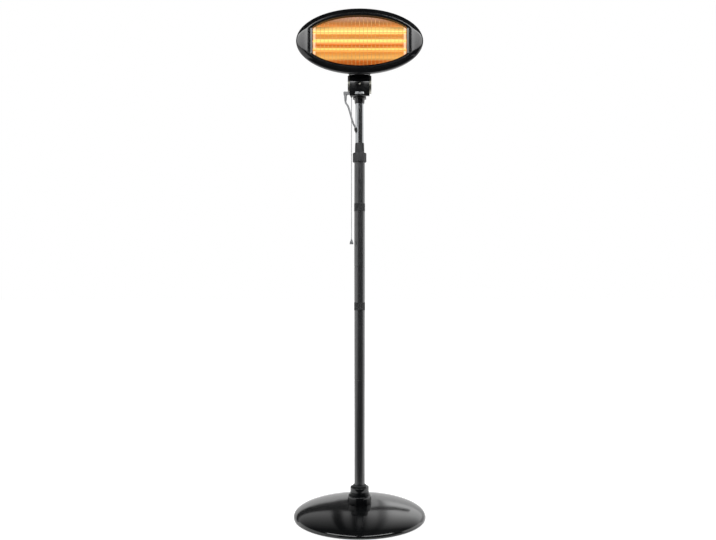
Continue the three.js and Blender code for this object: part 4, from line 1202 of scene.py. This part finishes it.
class HEATER_OT_pole(bpy.types.Operator):
    """Draws the three pole sections with their chamfered seams, the outlet grommet and the side screw"""

    bl_idname = "heater.pole"
    bl_label = "Pole"

    def execute(self, context):
        sizes = context.scene.heater_pole
        for name, node in (
            ("lower_section", "pole_bottom"),
            ("middle_section", "pole_middle"),
            ("top_section", "pole_top"),
        ):
            low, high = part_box(node)
            radius = high.x
            section = turned(name, pipe(radius - sizes.wall, radius, low.z, high.z, sizes.seam_chamfer))
            if node == "pole_bottom":
                height = span("outlet_grommet")[2].z
                carve(section, rod("hole", (0, radius / 2, height), (0, radius * 1.5, height), LEAD_HOLE))
            complete(section, node)
        self.outlet()
        front_screw("side_screw", "pole_screw", 2.4 * MM, 3 * MM, 4 * MM)
        return {"FINISHED"}

    def outlet(self):
        """Rubber grommet in the back of the pole, where the lead leaves."""
        _, high, middle, wide = span("outlet_grommet")
        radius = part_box("pole_bottom")[1].x
        bore = LEAD_DIAMETER / 2 + 0.3 * MM
        profile = [
            (bore, -2.2 * MM),
            (bore + 1.2 * MM, -2.2 * MM),
            (bore + 1.2 * MM, 0.6 * MM),
            (wide, 0.9 * MM),
            (wide, 1.8 * MM),
            (wide - 1.2 * MM, high.y - radius),
            (bore + 0.5 * MM, high.y - radius),
            (bore, high.y - radius - 0.6 * MM),
        ]
        grommet = turned("outlet_bush", profile, sides=SMALL_ROUND)
        soften(grommet, 0.25 * MM, 2)
        place_along(grommet, (0, radius, middle.z), (0, 1, 0))
        complete(grommet, "outlet_grommet")


def front_screw(name, node, height, shank, reach):
    """Screw that is driven in from the front."""
    low, _, middle, wide = span(node)
    head = screw_head(name, wide, height, shank, reach)
    place_along(head, (middle.x, low.y + height, middle.z), (0, -1, 0))
    complete(head, node)


def screw_head(name, radius, height, shank, reach):
    """Pan-head screw along Z with a cross recess: its seat is at the origin and its shank points down."""
    profile = [
        (shank, -reach),
        (shank, 0),
        (radius, 0),
        (radius, height * 0.35),
        *arc(radius - height * 0.65, height * 0.35, height * 0.65, 0, 80, 4)[1:],
        (radius * 0.3, height),
    ]
    head = turned(name, profile, sides=SMALL_ROUND, ends="capped")
    long, short, floor = radius * 0.6, radius * 0.14, height * 0.45
    for x, y in ((long, short), (short, long)):
        carve(head, block("recess", (-x, -y, floor), (x, y, height * 2)))
    return head


class HEATER_OT_straps(bpy.types.Operator):
    """Wraps the two straps round the pole, each lapped at the back"""

    bl_idname = "heater.straps"
    bl_label = "Straps"

    def execute(self, context):
        sizes = context.scene.heater_pole
        for name, node in (("lower_strap", "lower_band"), ("upper_strap", "upper_band")):
            low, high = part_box(node)
            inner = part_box("pole_top")[1].x + 0.2 * MM
            outer = high.x
            edge = sizes.strap_edge
            dip = 0.25 * MM
            profile = [
                (inner, low.z),
                (outer - 0.2 * MM, low.z),
                (outer, low.z + 0.4 * MM),
                (outer, low.z + edge),
                (outer - dip, low.z + edge + 0.5 * MM),
                (outer - dip, high.z - edge - 0.5 * MM),
                (outer, high.z - edge),
                (outer, high.z - 0.4 * MM),
                (outer - 0.2 * MM, high.z),
                (inner, high.z),
            ]
            strap = turned(name, profile)
            lap = self.lap(outer, sizes.strap_thickness, low.z + 1 * MM, high.z - 1 * MM)
            strap = merged(name, [strap, lap])
            complete(strap, node, material=finish("matte_moulding", woven_strap))
        return {"FINISHED"}

    def lap(self, inner, thickness, low, high):
        """Loose end of the strap, over its own back."""
        half_lap = math.radians(35)
        outer = inner + thickness
        lap = turned("lap", [(outer, low), (outer, high)], ends="open")
        with editing(lap):
            choose(lap, "verts", lambda v: abs(math.atan2(v.co.x, v.co.y)) > half_lap)
            bpy.ops.mesh.delete(type="VERT")
        thicken(lap, thickness * 0.95)
        soften(lap, 0.3 * MM, 2)
        return lap


def woven_strap(colours):
    """Woven nylon tape: black, dull, with fine cross ribs of the weave."""
    base = tuple(colours.matte_moulding)
    material, tree, shader, place = start_material("woven_strap", base_color=base, roughness=0.8)
    shader.inputs["Sheen Weight"].default_value = 0.15
    ribs = add_node(
        tree, "ShaderNodeTexWave", {"Vector": place, "Scale": 1 / (9 * MM), "Distortion": 0.4}, bands_direction="Z"
    ).outputs["Fac"]
    relief(tree, shader, ribs, 0.15 * MM, 0.6)
    # Darker in the grooves between the ribs and lighter on their crests: painted shade and painted highlight.
    tint(tree, shader, ribs, shade(base, 0.7), shade(base, 1.3))
    return material


class HEATER_OT_height_lock(bpy.types.Operator):
    """Models the slotted collet and the ribbed collar that clamps it"""

    bl_idname = "heater.height_lock"
    bl_label = "Height lock"

    def execute(self, context):
        sizes = context.scene.heater_pole
        self.collet(sizes)
        self.grip(sizes)
        return {"FINISHED"}

    def collet(self, sizes):
        """Tapered split sleeve in the pole's open end."""
        low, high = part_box("collet")
        pole_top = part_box("pole_top")[1].z
        wide = high.x
        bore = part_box("upper_tube")[1].x + 0.25 * MM
        flange = pole_top + 0.3 * MM
        tip = high.z
        sleeve = turned(
            "split_collet",
            [
                (bore, low.z),
                (wide - 1.9 * MM, low.z),
                (wide - 1.9 * MM, flange),
                (wide, flange),
                (wide, flange + 5.4 * MM),
                (wide - 1.8 * MM, flange + 5.4 * MM),
                (wide - 1.8 * MM, flange + 13 * MM),
                (bore + 0.9 * MM, tip - 5 * MM),
                (bore + 0.75 * MM, tip - 1.2 * MM),
                (bore + 0.4 * MM, tip - 0.1 * MM),
                (bore + 0.15 * MM, tip),
                (bore, tip - 0.4 * MM),
            ],
        )
        for slot in range(sizes.collet_slots):
            cutter = block(
                "slot", (bore - 2 * MM, -0.8 * MM, pole_top + 24 * MM), (wide + 5 * MM, 0.8 * MM, tip + 5 * MM)
            )
            cutter.rotation_euler = (0, 0, 2 * math.pi * (slot + 0.5) / sizes.collet_slots)
            carve(sleeve, cutter)
        complete(sleeve, "collet")

    def grip(self, sizes):
        """Collar with rounded ribs round it."""
        low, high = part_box("lock_collar")
        wide = high.x
        sides = sizes.lock_ribs * 8
        edge = 1.8 * MM
        body = turned("ribbed_grip", [(wide, low.z), (wide, high.z)], sides, "open")
        with editing(body):
            for side in range(sides):
                phase = 2 * math.pi * sizes.lock_ribs * side / sides
                pull = sizes.lock_rib_depth / 2 * (1 - math.cos(phase)) / wide
                angle = 2 * math.pi * side / sides
                choose(body, "verts", lambda v: same_angle(v.co.x, v.co.y, angle))
                bpy.ops.transform.resize(value=(1 - pull, 1 - pull, 1), center_override=(0, 0, 0))
        with editing(body):
            for height, outward in ((high.z, 1), (low.z, -1)):
                choose(body, "verts", lambda v: abs(v.co.z - height) < NEAR)
                bpy.ops.transform.translate(value=(0, 0, -outward * edge))
                for rise, scale in ((0.55, 0.992), (0.33, 0.985), (0.12, 0.975)):
                    bpy.ops.mesh.extrude_region_move(
                        TRANSFORM_OT_translate={"value": (0, 0, outward * edge * rise)}
                    )
                    bpy.ops.transform.resize(value=(scale, scale, 1), center_override=(0, 0, 0))
        with editing(body):
            choose(body, "verts", lambda v: abs(v.co.z - high.z) < NEAR)
            bpy.ops.mesh.extrude_region_move(TRANSFORM_OT_translate={"value": (0, 0, 0)})
            bpy.ops.transform.tosphere(value=1.0)
            bpy.ops.transform.resize(value=(0.82, 0.82, 1), center_override=(0, 0, 0))
        complete(body, "lock_collar")


def same_angle(x, y, angle):
    """Whether a place lies in a direction round Z."""
    return abs(math.remainder(math.atan2(y, x) - angle, 2 * math.pi)) < 0.001


class HEATER_OT_upper_tube(bpy.types.Operator):
    """Draws the chromed upper tube, its grommet and the socket at its top"""

    bl_idname = "heater.upper_tube"
    bl_label = "Upper tube"

    def execute(self, context):
        low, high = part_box("upper_tube")
        radius = high.x
        bore = radius - context.scene.heater_pole.upper_wall
        tube = turned(
            "chromed_tube",
            [(bore, low.z), (radius - 0.4 * MM, low.z), (radius, low.z + 0.4 * MM), (radius, high.z), (bore, high.z)],
        )
        sizes = context.scene.heater_box
        foot = box_foot(sizes)
        end, before = Vector(LEAD_ROUTE[-1]), Vector(LEAD_ROUTE[-3])
        entry = Vector(LEAD_ROUTE[-2]) + Vector((0, 0, foot))
        direction = (end - before).normalized()
        carve(tube, rod("hole", entry - direction * 14 * MM, entry + direction * 14 * MM, LEAD_HOLE))
        complete(tube, "upper_tube")
        self.grommet(entry, direction)
        self.socket(sizes)
        return {"FINISHED"}

    def grommet(self, entry, direction):
        """Slanted rubber snout that leads the cord into the tube."""
        bore = LEAD_DIAMETER / 2 + 0.2 * MM
        wide = 6.5 * MM
        profile = [
            (bore, -9 * MM),
            (bore + 0.8 * MM, -9 * MM),
            (bore + 1.6 * MM, -8 * MM),
            (wide - 0.4 * MM, -3 * MM),
            (wide, -1.5 * MM),
            (wide, 6 * MM),
            (bore, 6 * MM),
        ]
        snout = turned("lead_grommet", profile, sides=SMALL_ROUND)
        place_along(snout, entry, direction)
        low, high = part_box("upper_tube")
        carve(snout, rod("inside", (0, 0, low.z), (0, 0, high.z), high.x + 0.2 * MM, ROUND))
        complete(snout, "tube_grommet")

    def socket(self, sizes):
        """Moulded socket that steps down from the box's raked underside to the tube."""
        low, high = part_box("tube_socket")
        wide = high.x
        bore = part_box("upper_tube")[1].x + 0.3 * MM
        neck = sizes.neck_radius
        shoulder = low.z + sizes.neck_top
        waist = low.z + sizes.neck_foot
        rim = underside(sizes, wide) + 2 * MM
        profile = [
            (bore, low.z),
            (17.2 * MM, low.z),
            (17.6 * MM, low.z + 0.6 * MM),
            (neck - 0.2 * MM, waist),
            (neck, waist + 0.6 * MM),
            (neck, shoulder - 1.2 * MM),
            (neck + 0.4 * MM, shoulder - 0.3 * MM),
            (neck + 1.4 * MM, shoulder),
            *arc(wide - 1.6 * MM, shoulder + 1.6 * MM, 1.6 * MM, -90, 0, 4),
            (wide, rim),
            (bore, rim),
        ]
        cup = turned("tube_cup", profile)
        top = block("above", (-0.1, -0.1, 0), (0.1, 0.1, 0.1))
        top.rotation_euler = (sizes.rake, 0, 0)
        top.location = (0, 0, underside(sizes, 0) - 0.3 * MM)
        carve(cup, top)
        complete(cup, "tube_socket")


class HEATER_OT_control_box(bpy.types.Operator):
    """Models the control box in two shells, with its screw, cable boss and blank plate"""

    bl_idname = "heater.control_box"
    bl_label = "Control box"

    def execute(self, context):
        sizes = context.scene.heater_box
        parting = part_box("box_front")[1].y
        self.front(sizes, parting)
        self.rear(sizes, parting)
        front_screw("cover_fastener", "cover_screw", 1.4 * MM, 1.6 * MM, 10 * MM)
        return {"FINISHED"}

    def body(self, name, sizes):
        """Whole box: a block whose top is bevelled to a half round and whose underside is raked and rounded."""
        low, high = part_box("box_front")
        depth = -low.y
        crown = TILT_AXIS.z + depth
        foot = underside(sizes, -depth)
        box = block(name, (low.x, -depth, foot), (high.x, depth, crown))
        with editing(box):
            choose(box, "edges", lambda e: along_x(e) and min(v.co.z for v in e.verts) > TILT_AXIS.z)
            bpy.ops.mesh.bevel(offset=depth * 0.9995, segments=28, affect="EDGES")
            choose(box, "verts", lambda v: v.co.y > depth - 1 * MM and v.co.z < foot + 1 * MM)
            bpy.ops.transform.translate(value=(0, 0, underside(sizes, depth) - foot))
            for side, corner in ((-1, sizes.front_corner), (1, sizes.rear_corner)):
                choose(
                    box,
                    "edges",
                    lambda e: along_x(e)
                    and side * e.verts[0].co.y > depth - 1 * MM
                    and e.verts[0].co.z < TILT_AXIS.z - 5 * MM,
                )
                half_angle = math.pi / 4 + side * sizes.rake / 2
                bpy.ops.mesh.bevel(offset=corner / math.tan(half_angle), segments=8, affect="EDGES")
            bpy.ops.mesh.select_all(action="SELECT")
            bpy.ops.mesh.remove_doubles(threshold=0.1 * MM)
        return box

    def halved(self, name, sizes, parting, front):
        """Shell of the box on one side of the parting line."""
        shell = self.body(name, sizes)
        with editing(shell):
            bpy.ops.mesh.bisect(
                plane_co=(0, parting, 0), plane_no=(0, 1, 0), clear_outer=front, clear_inner=not front
            )
            bpy.ops.mesh.select_all(action="SELECT")
            bpy.ops.mesh.normals_make_consistent(inside=False)
        thicken(shell, sizes.wall)
        soften(shell, sizes.edge, 3, 50)
        return shell

    def front(self, sizes, parting):
        """Cover in front of the parting line, with its plate."""
        cover = self.halved("box_cover", sizes, parting, True)
        complete(cover, "box_front")
        self.plate(sizes)

    def plate(self, sizes):
        """Blank plate of brushed metal, low on the cover."""
        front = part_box("box_front")[0].y
        foot = box_foot(sizes)
        half = sizes.plate_half_width
        plate = block(
            "blank_plate",
            (-half, front - 0.4 * MM, foot + sizes.plate_foot),
            (half, front + 1.2 * MM, foot + sizes.plate_top),
        )
        soften(plate, 0.4 * MM, 2)
        pick(plate)
        bpy.ops.object.shade_smooth_by_angle(angle=math.radians(35))
        plate.data.materials.append(finish("chrome_plate", brushed_plate))
        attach(plate, "carriage")

    def rear(self, sizes, parting):
        """Body behind the parting line, with the grey boss that the lead leaves from."""
        shell = self.halved("box_body", sizes, parting + 0.3 * MM, False)
        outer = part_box("box_rear")[0].x
        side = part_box("box_front")[0].x
        lead_y = LEAD_ROUTE[0][1]
        front, back = lead_y - sizes.boss_depth / 2, lead_y + sizes.boss_depth / 2
        foot = box_foot(sizes) + sizes.boss_rise
        top = foot + sizes.boss_height
        boss = block("boss", (outer, front, foot), (side - 0.3 * MM, back, top))
        soften(boss, 2 * MM, 4)
        root = block(
            "root",
            (side - 6 * MM, parting + 0.6 * MM, foot + 1 * MM),
            (side + 1 * MM, back - 1 * MM, top - 1 * MM),
        )
        carve(shell, root, "UNION")
        carve(shell, boss, "UNION")
        complete(shell, "box_rear")
        shell.data.materials.append(finish("grey_sheath"))
        for face in shell.data.polygons:
            if face.center.x < side - 0.6 * MM:
                face.material_index = 1


def along_x(edge):
    """Whether an edge runs along X."""
    first, second = (vertex.co for vertex in edge.verts)
    return abs(first.y - second.y) < NEAR and abs(first.z - second.z) < NEAR


def brushed_plate(colours):
    """Brushed anodised aluminium: pale grey with level brush lines."""
    base = linear("#8f9193")
    material, tree, shader, place = start_material("brushed_plate", base_color=base, metallic=1.0, roughness=0.4)
    brushing = grain(tree, stretched(tree, place, 0.04, 1.0, 1.0), 0.5 * MM, 3.0)
    relief(tree, shader, brushing, 0.02 * MM, 0.5)
    vary(tree, shader, "Roughness", brushing, 0.35, 0.55)
    return material


class HEATER_OT_tilt_joint(bpy.types.Operator):
    """Finishes the bracket's two tilt bolts"""

    bl_idname = "heater.tilt_joint"
    bl_label = "Tilt joint"

    def execute(self, context):
        for name, node, side in (("left_tilt_bolt", "tilt_bolt_left", -1), ("right_tilt_bolt", "tilt_bolt_right", 1)):
            low, high, middle, _ = span(node)
            radius = (high.z - low.z) / 2
            bolt = turned(
                name,
                [
                    (4 * MM, -18 * MM),
                    (4 * MM, 0),
                    (radius, 0),
                    (radius, 2 * MM),
                    *arc(radius - 2 * MM, 2 * MM, 2 * MM, 0, 90, 4)[1:],
                    (5 * MM, 4 * MM),
                    (4.5 * MM, 2.2 * MM),
                ],
                sides=48,
                ends="capped",
            )
            seat = (high.x if side > 0 else -low.x) - 4 * MM
            place_along(bolt, (side * seat, 0, middle.z), (side, 0, 0))
            complete(bolt, node)
        return {"FINISHED"}


class HEATER_OT_head_shells(bpy.types.Operator):
    """Draws the front bezel and the rear housing out of ovals"""

    bl_idname = "heater.head_shells"
    bl_label = "Bezel and housing"

    def execute(self, context):
        sizes = context.scene.heater_head
        self.bezel(sizes)
        self.housing(sizes)
        return {"FINISHED"}

    def bezel(self, sizes):
        """Cushioned oval frame that rolls into a straight-sided opening."""
        low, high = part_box("front_bezel")
        wide, tall = high.x, (high.z - low.z) / 2
        middle = Vector((0, 0, (low.z + high.z) / 2))
        mouth_wide, mouth_tall = sizes.opening_oval_width, sizes.opening_oval_height
        back, front = high.y, low.y
        deep = back - front
        rim = back - 0.3 * deep
        rings = [(wide, tall, back), (wide, tall, back - 0.15 * deep), (wide, tall, rim)]
        flats = [wide, wide, wide]
        steps = 18
        for step in range(1, steps + 1):
            way = step / steps
            crown = math.sin(math.radians(90 * min(1.0, way / sizes.bezel_crest))) ** 0.8
            roll = max(0.0, (way - sizes.bezel_crest) / (1 - sizes.bezel_crest)) ** 2.5
            place = rim - (rim - front) * crown + 1.8 * MM * roll
            rings.append((wide + (mouth_wide - wide) * way, tall + (mouth_tall - tall) * way, place))
            flats.append(wide + (sizes.opening_half_width - wide) * way)
        rings += [
            (mouth_wide - 0.4 * MM, mouth_tall - 0.4 * MM, rings[-1][2] + 1.5 * MM),
            (mouth_wide - 0.4 * MM, mouth_tall - 0.4 * MM, front + sizes.lip_depth),
        ]
        flats += [sizes.opening_half_width - 0.4 * MM] * 2
        bezel = drawn("oval_bezel", rings, "Y", middle, sides=216, flats=flats)
        thicken(bezel, sizes.bezel_wall)
        complete(bezel, "front_bezel", angle=40)

    def housing(self, sizes):
        """Rounded dish with a flat vented back."""
        low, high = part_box("rear_shell")
        wide, tall = high.x, (high.z - low.z) / 2
        middle = Vector((0, 0, (low.z + high.z) / 2))
        rings = []
        steps = 16
        for step in range(steps + 1):
            way = math.sin(math.radians(90 * step / steps))
            share = sizes.shell_back_share + (1 - sizes.shell_back_share) * (
                1 - way**sizes.shell_fullness
            ) ** (1 / sizes.shell_fullness)
            rings.append((wide * share, tall * share, low.y + (high.y - low.y) * way))
        last_wide, last_tall, back = rings[-1]
        rings += [(last_wide * 0.97, last_tall * 0.95, back), (last_wide * 0.4, last_tall * 0.3, back)]
        shell = drawn("rear_housing", rings, "Y", middle, sides=144)
        with editing(shell):
            choose(shell, "verts", lambda v: abs(v.co.y - back) < NEAR and abs(v.co.x) < last_wide * 0.41)
            bpy.ops.mesh.edge_face_add()
        thicken(shell, sizes.shell_wall)
        tools = []
        top = middle.z + sizes.vent_top
        for row in range(sizes.vent_rows):
            for column in range(sizes.vent_columns):
                x = (column - (sizes.vent_columns - 1) / 2) * sizes.vent_pitch
                z = top - row * sizes.vent_row_pitch
                half = sizes.vent_width / 2
                slot = block(
                    "slot", (x - half, back - 12 * MM, z - sizes.vent_height), (x + half, back + 5 * MM, z)
                )
                with editing(slot):
                    choose(slot, "edges", lambda e: abs(e.verts[0].co.y - e.verts[1].co.y) > 1 * MM)
                    bpy.ops.mesh.bevel(offset=half * 0.98, segments=6, affect="EDGES")
                tools.append(slot)
        carve(shell, merged("slots", tools))
        complete(shell, "rear_shell", angle=30)


class HEATER_OT_heating(bpy.types.Operator):
    """Draws the quartz tubes and winds the coils inside them"""

    bl_idname = "heater.heating"
    bl_label = "Quartz tubes"

    def execute(self, context):
        sizes = context.scene.heater_head
        for number in range(1, 4):
            self.tube(number, sizes)
            self.coil(number, sizes)
        return {"FINISHED"}

    def tube(self, number, sizes):
        """Quartz tube with rounded rims."""
        node = f"quartz_tube_{number}"
        low, high, middle, _ = span(node)
        radius = (high.z - low.z) / 2
        wall = pipe(radius - sizes.quartz_wall, radius, low.x, high.x, 0.4 * MM)
        rings = [(reach, reach, x) for reach, x in wall]
        tube = drawn(
            f"glass_tube_{number}", rings, "X", (0, middle.y, middle.z), sides=24, ends="joined"
        )
        complete(tube, node)

    def coil(self, number, sizes):
        """Heating wire wound from end to end of its tube."""
        node = f"heating_coil_{number}"
        low, high, middle, _ = span(node)
        reach = high.x - 6 * MM
        per_turn = 10
        turns = int(2 * reach / sizes.coil_pitch)
        points = [Vector((low.x, middle.y, middle.z)), Vector((-reach - 2 * MM, middle.y, middle.z))]
        for step in range(turns * per_turn + 1):
            angle = 2 * math.pi * step / per_turn
            points.append(
                Vector(
                    (
                        -reach + 2 * reach * step / (turns * per_turn),
                        middle.y + sizes.coil_radius * math.cos(angle),
                        middle.z + sizes.coil_radius * math.sin(angle),
                    )
                )
            )
        points += [Vector((reach + 2 * MM, middle.y, middle.z)), Vector((high.x, middle.y, middle.z))]
        coil = empty_curve(f"wound_coil_{number}")
        spline = coil.data.splines.new("POLY")
        spline.points.add(len(points) - 1)
        for knot, point in zip(spline.points, points):
            knot.co = (*point, 1)
        coil.data.bevel_depth = sizes.coil_wire
        coil.data.bevel_resolution = 1
        pick(coil)
        bpy.ops.object.convert(target="MESH")
        complete(bpy.context.object, node)


class HEATER_OT_guard(bpy.types.Operator):
    """Welds the wire guard: a frame, upright wires and two rails"""

    bl_idname = "heater.guard"
    bl_label = "Wire guard"

    def execute(self, context):
        sizes = context.scene.heater_head
        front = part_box("wire_guard")[0].y
        middle = Vector((0, front + sizes.guard_frame, span("front_bezel")[2].z))
        inset = sizes.guard_frame + 0.4 * MM
        half_wide = sizes.opening_half_width - inset
        oval_wide = sizes.opening_oval_width
        oval_tall = sizes.opening_oval_height - inset
        frame_wire = drawn("frame_wire", [(oval_wide, oval_tall, 0)], "Y", middle, sides=160)
        with editing(frame_wire):
            press_ends(frame_wire, half_wide)
        pick(frame_wire)
        bpy.ops.object.convert(target="CURVE")
        frame_wire.data.bevel_depth = sizes.guard_frame
        frame_wire.data.bevel_resolution = 2
        bpy.ops.object.convert(target="MESH")
        wires = [bpy.context.object]
        columns = int((half_wide - 4 * MM) / sizes.guard_pitch)
        for column in range(-columns, columns + 1):
            x = column * sizes.guard_pitch
            half = oval_tall * math.sqrt(1 - (x / oval_wide) ** 2)
            wires.append(
                rod("wire", middle + Vector((x, 0, -half)), middle + Vector((x, 0, half)), sizes.guard_wire, 8)
            )
        for row in (-1, 1):
            rise = row * sizes.guard_rail_pitch / 2
            reach = min(half_wide, oval_wide * math.sqrt(1 - (rise / oval_tall) ** 2))
            behind = 1.5 * sizes.guard_wire
            wires.append(
                rod(
                    "rail",
                    middle + Vector((-reach, behind, rise)),
                    middle + Vector((reach, behind, rise)),
                    sizes.guard_wire,
                    8,
                )
            )
        complete(merged("welded_guard", wires), "wire_guard")
        return {"FINISHED"}


class HEATER_OT_carried_pieces(bpy.types.Operator):
    """Gives every carried-over node its finish"""

    bl_idname = "heater.carried_pieces"
    bl_label = "Carried pieces"

    def execute(self, context):
        for name, node in frame["nodes"].items():
            if node.hide_render:
                continue
            material = finish(SLOT_OF[name])
            if name.startswith("end_plate"):
                material = finish("bright_aluminium", lit_end_plate)
            if not node.material_slots:
                node.data.materials.append(material)
            for holder in node.material_slots:
                holder.material = material
        return {"FINISHED"}


class HEATER_PT_sidebar(bpy.types.Panel):
    """Lists the heater's operators, sizes and colours"""

    bl_idname = "HEATER_PT_sidebar"
    bl_label = "Patio heater"
    bl_space_type = "VIEW_3D"
    bl_region_type = "UI"
    bl_category = "Heater"

    def draw(self, context):
        column = self.layout.column(align=True)
        for operator in STEPS:
            column.operator(operator.bl_idname)
        for name in GROUPS:
            box = self.layout.box()
            group = getattr(context.scene, name)
            for field in group.bl_rna.properties:
                if not field.is_readonly and field.identifier != "name":
                    box.prop(group, field.identifier)


STEPS = (
    HEATER_OT_stage,
    HEATER_OT_mains_lead,
    HEATER_OT_pull_cord,
    HEATER_OT_base,
    HEATER_OT_collar,
    HEATER_OT_pole,
    HEATER_OT_straps,
    HEATER_OT_height_lock,
    HEATER_OT_upper_tube,
    HEATER_OT_control_box,
    HEATER_OT_tilt_joint,
    HEATER_OT_head_shells,
    HEATER_OT_heating,
    HEATER_OT_guard,
    HEATER_OT_carried_pieces,
)
GROUPS = {
    "heater_base": HeaterBaseSizes,
    "heater_pole": HeaterPoleSizes,
    "heater_box": HeaterBoxSizes,
    "heater_head": HeaterHeadSizes,
    "heater_colours": HeaterColours,
    "heater_stage": HeaterStage,
}


def register():
    for item in (*GROUPS.values(), *STEPS, HEATER_PT_sidebar):
        bpy.utils.register_class(item)
    for name, group in GROUPS.items():
        setattr(bpy.types.Scene, name, PointerProperty(type=group))


def unregister():
    for name in GROUPS:
        delattr(bpy.types.Scene, name)
    for item in reversed((*GROUPS.values(), *STEPS, HEATER_PT_sidebar)):
        bpy.utils.unregister_class(item)


def main():
    register()
    for step in STEPS:
        family, name = step.bl_idname.split(".")
        getattr(getattr(bpy.ops, family), name)()


if __name__ == "__main__":
    main()
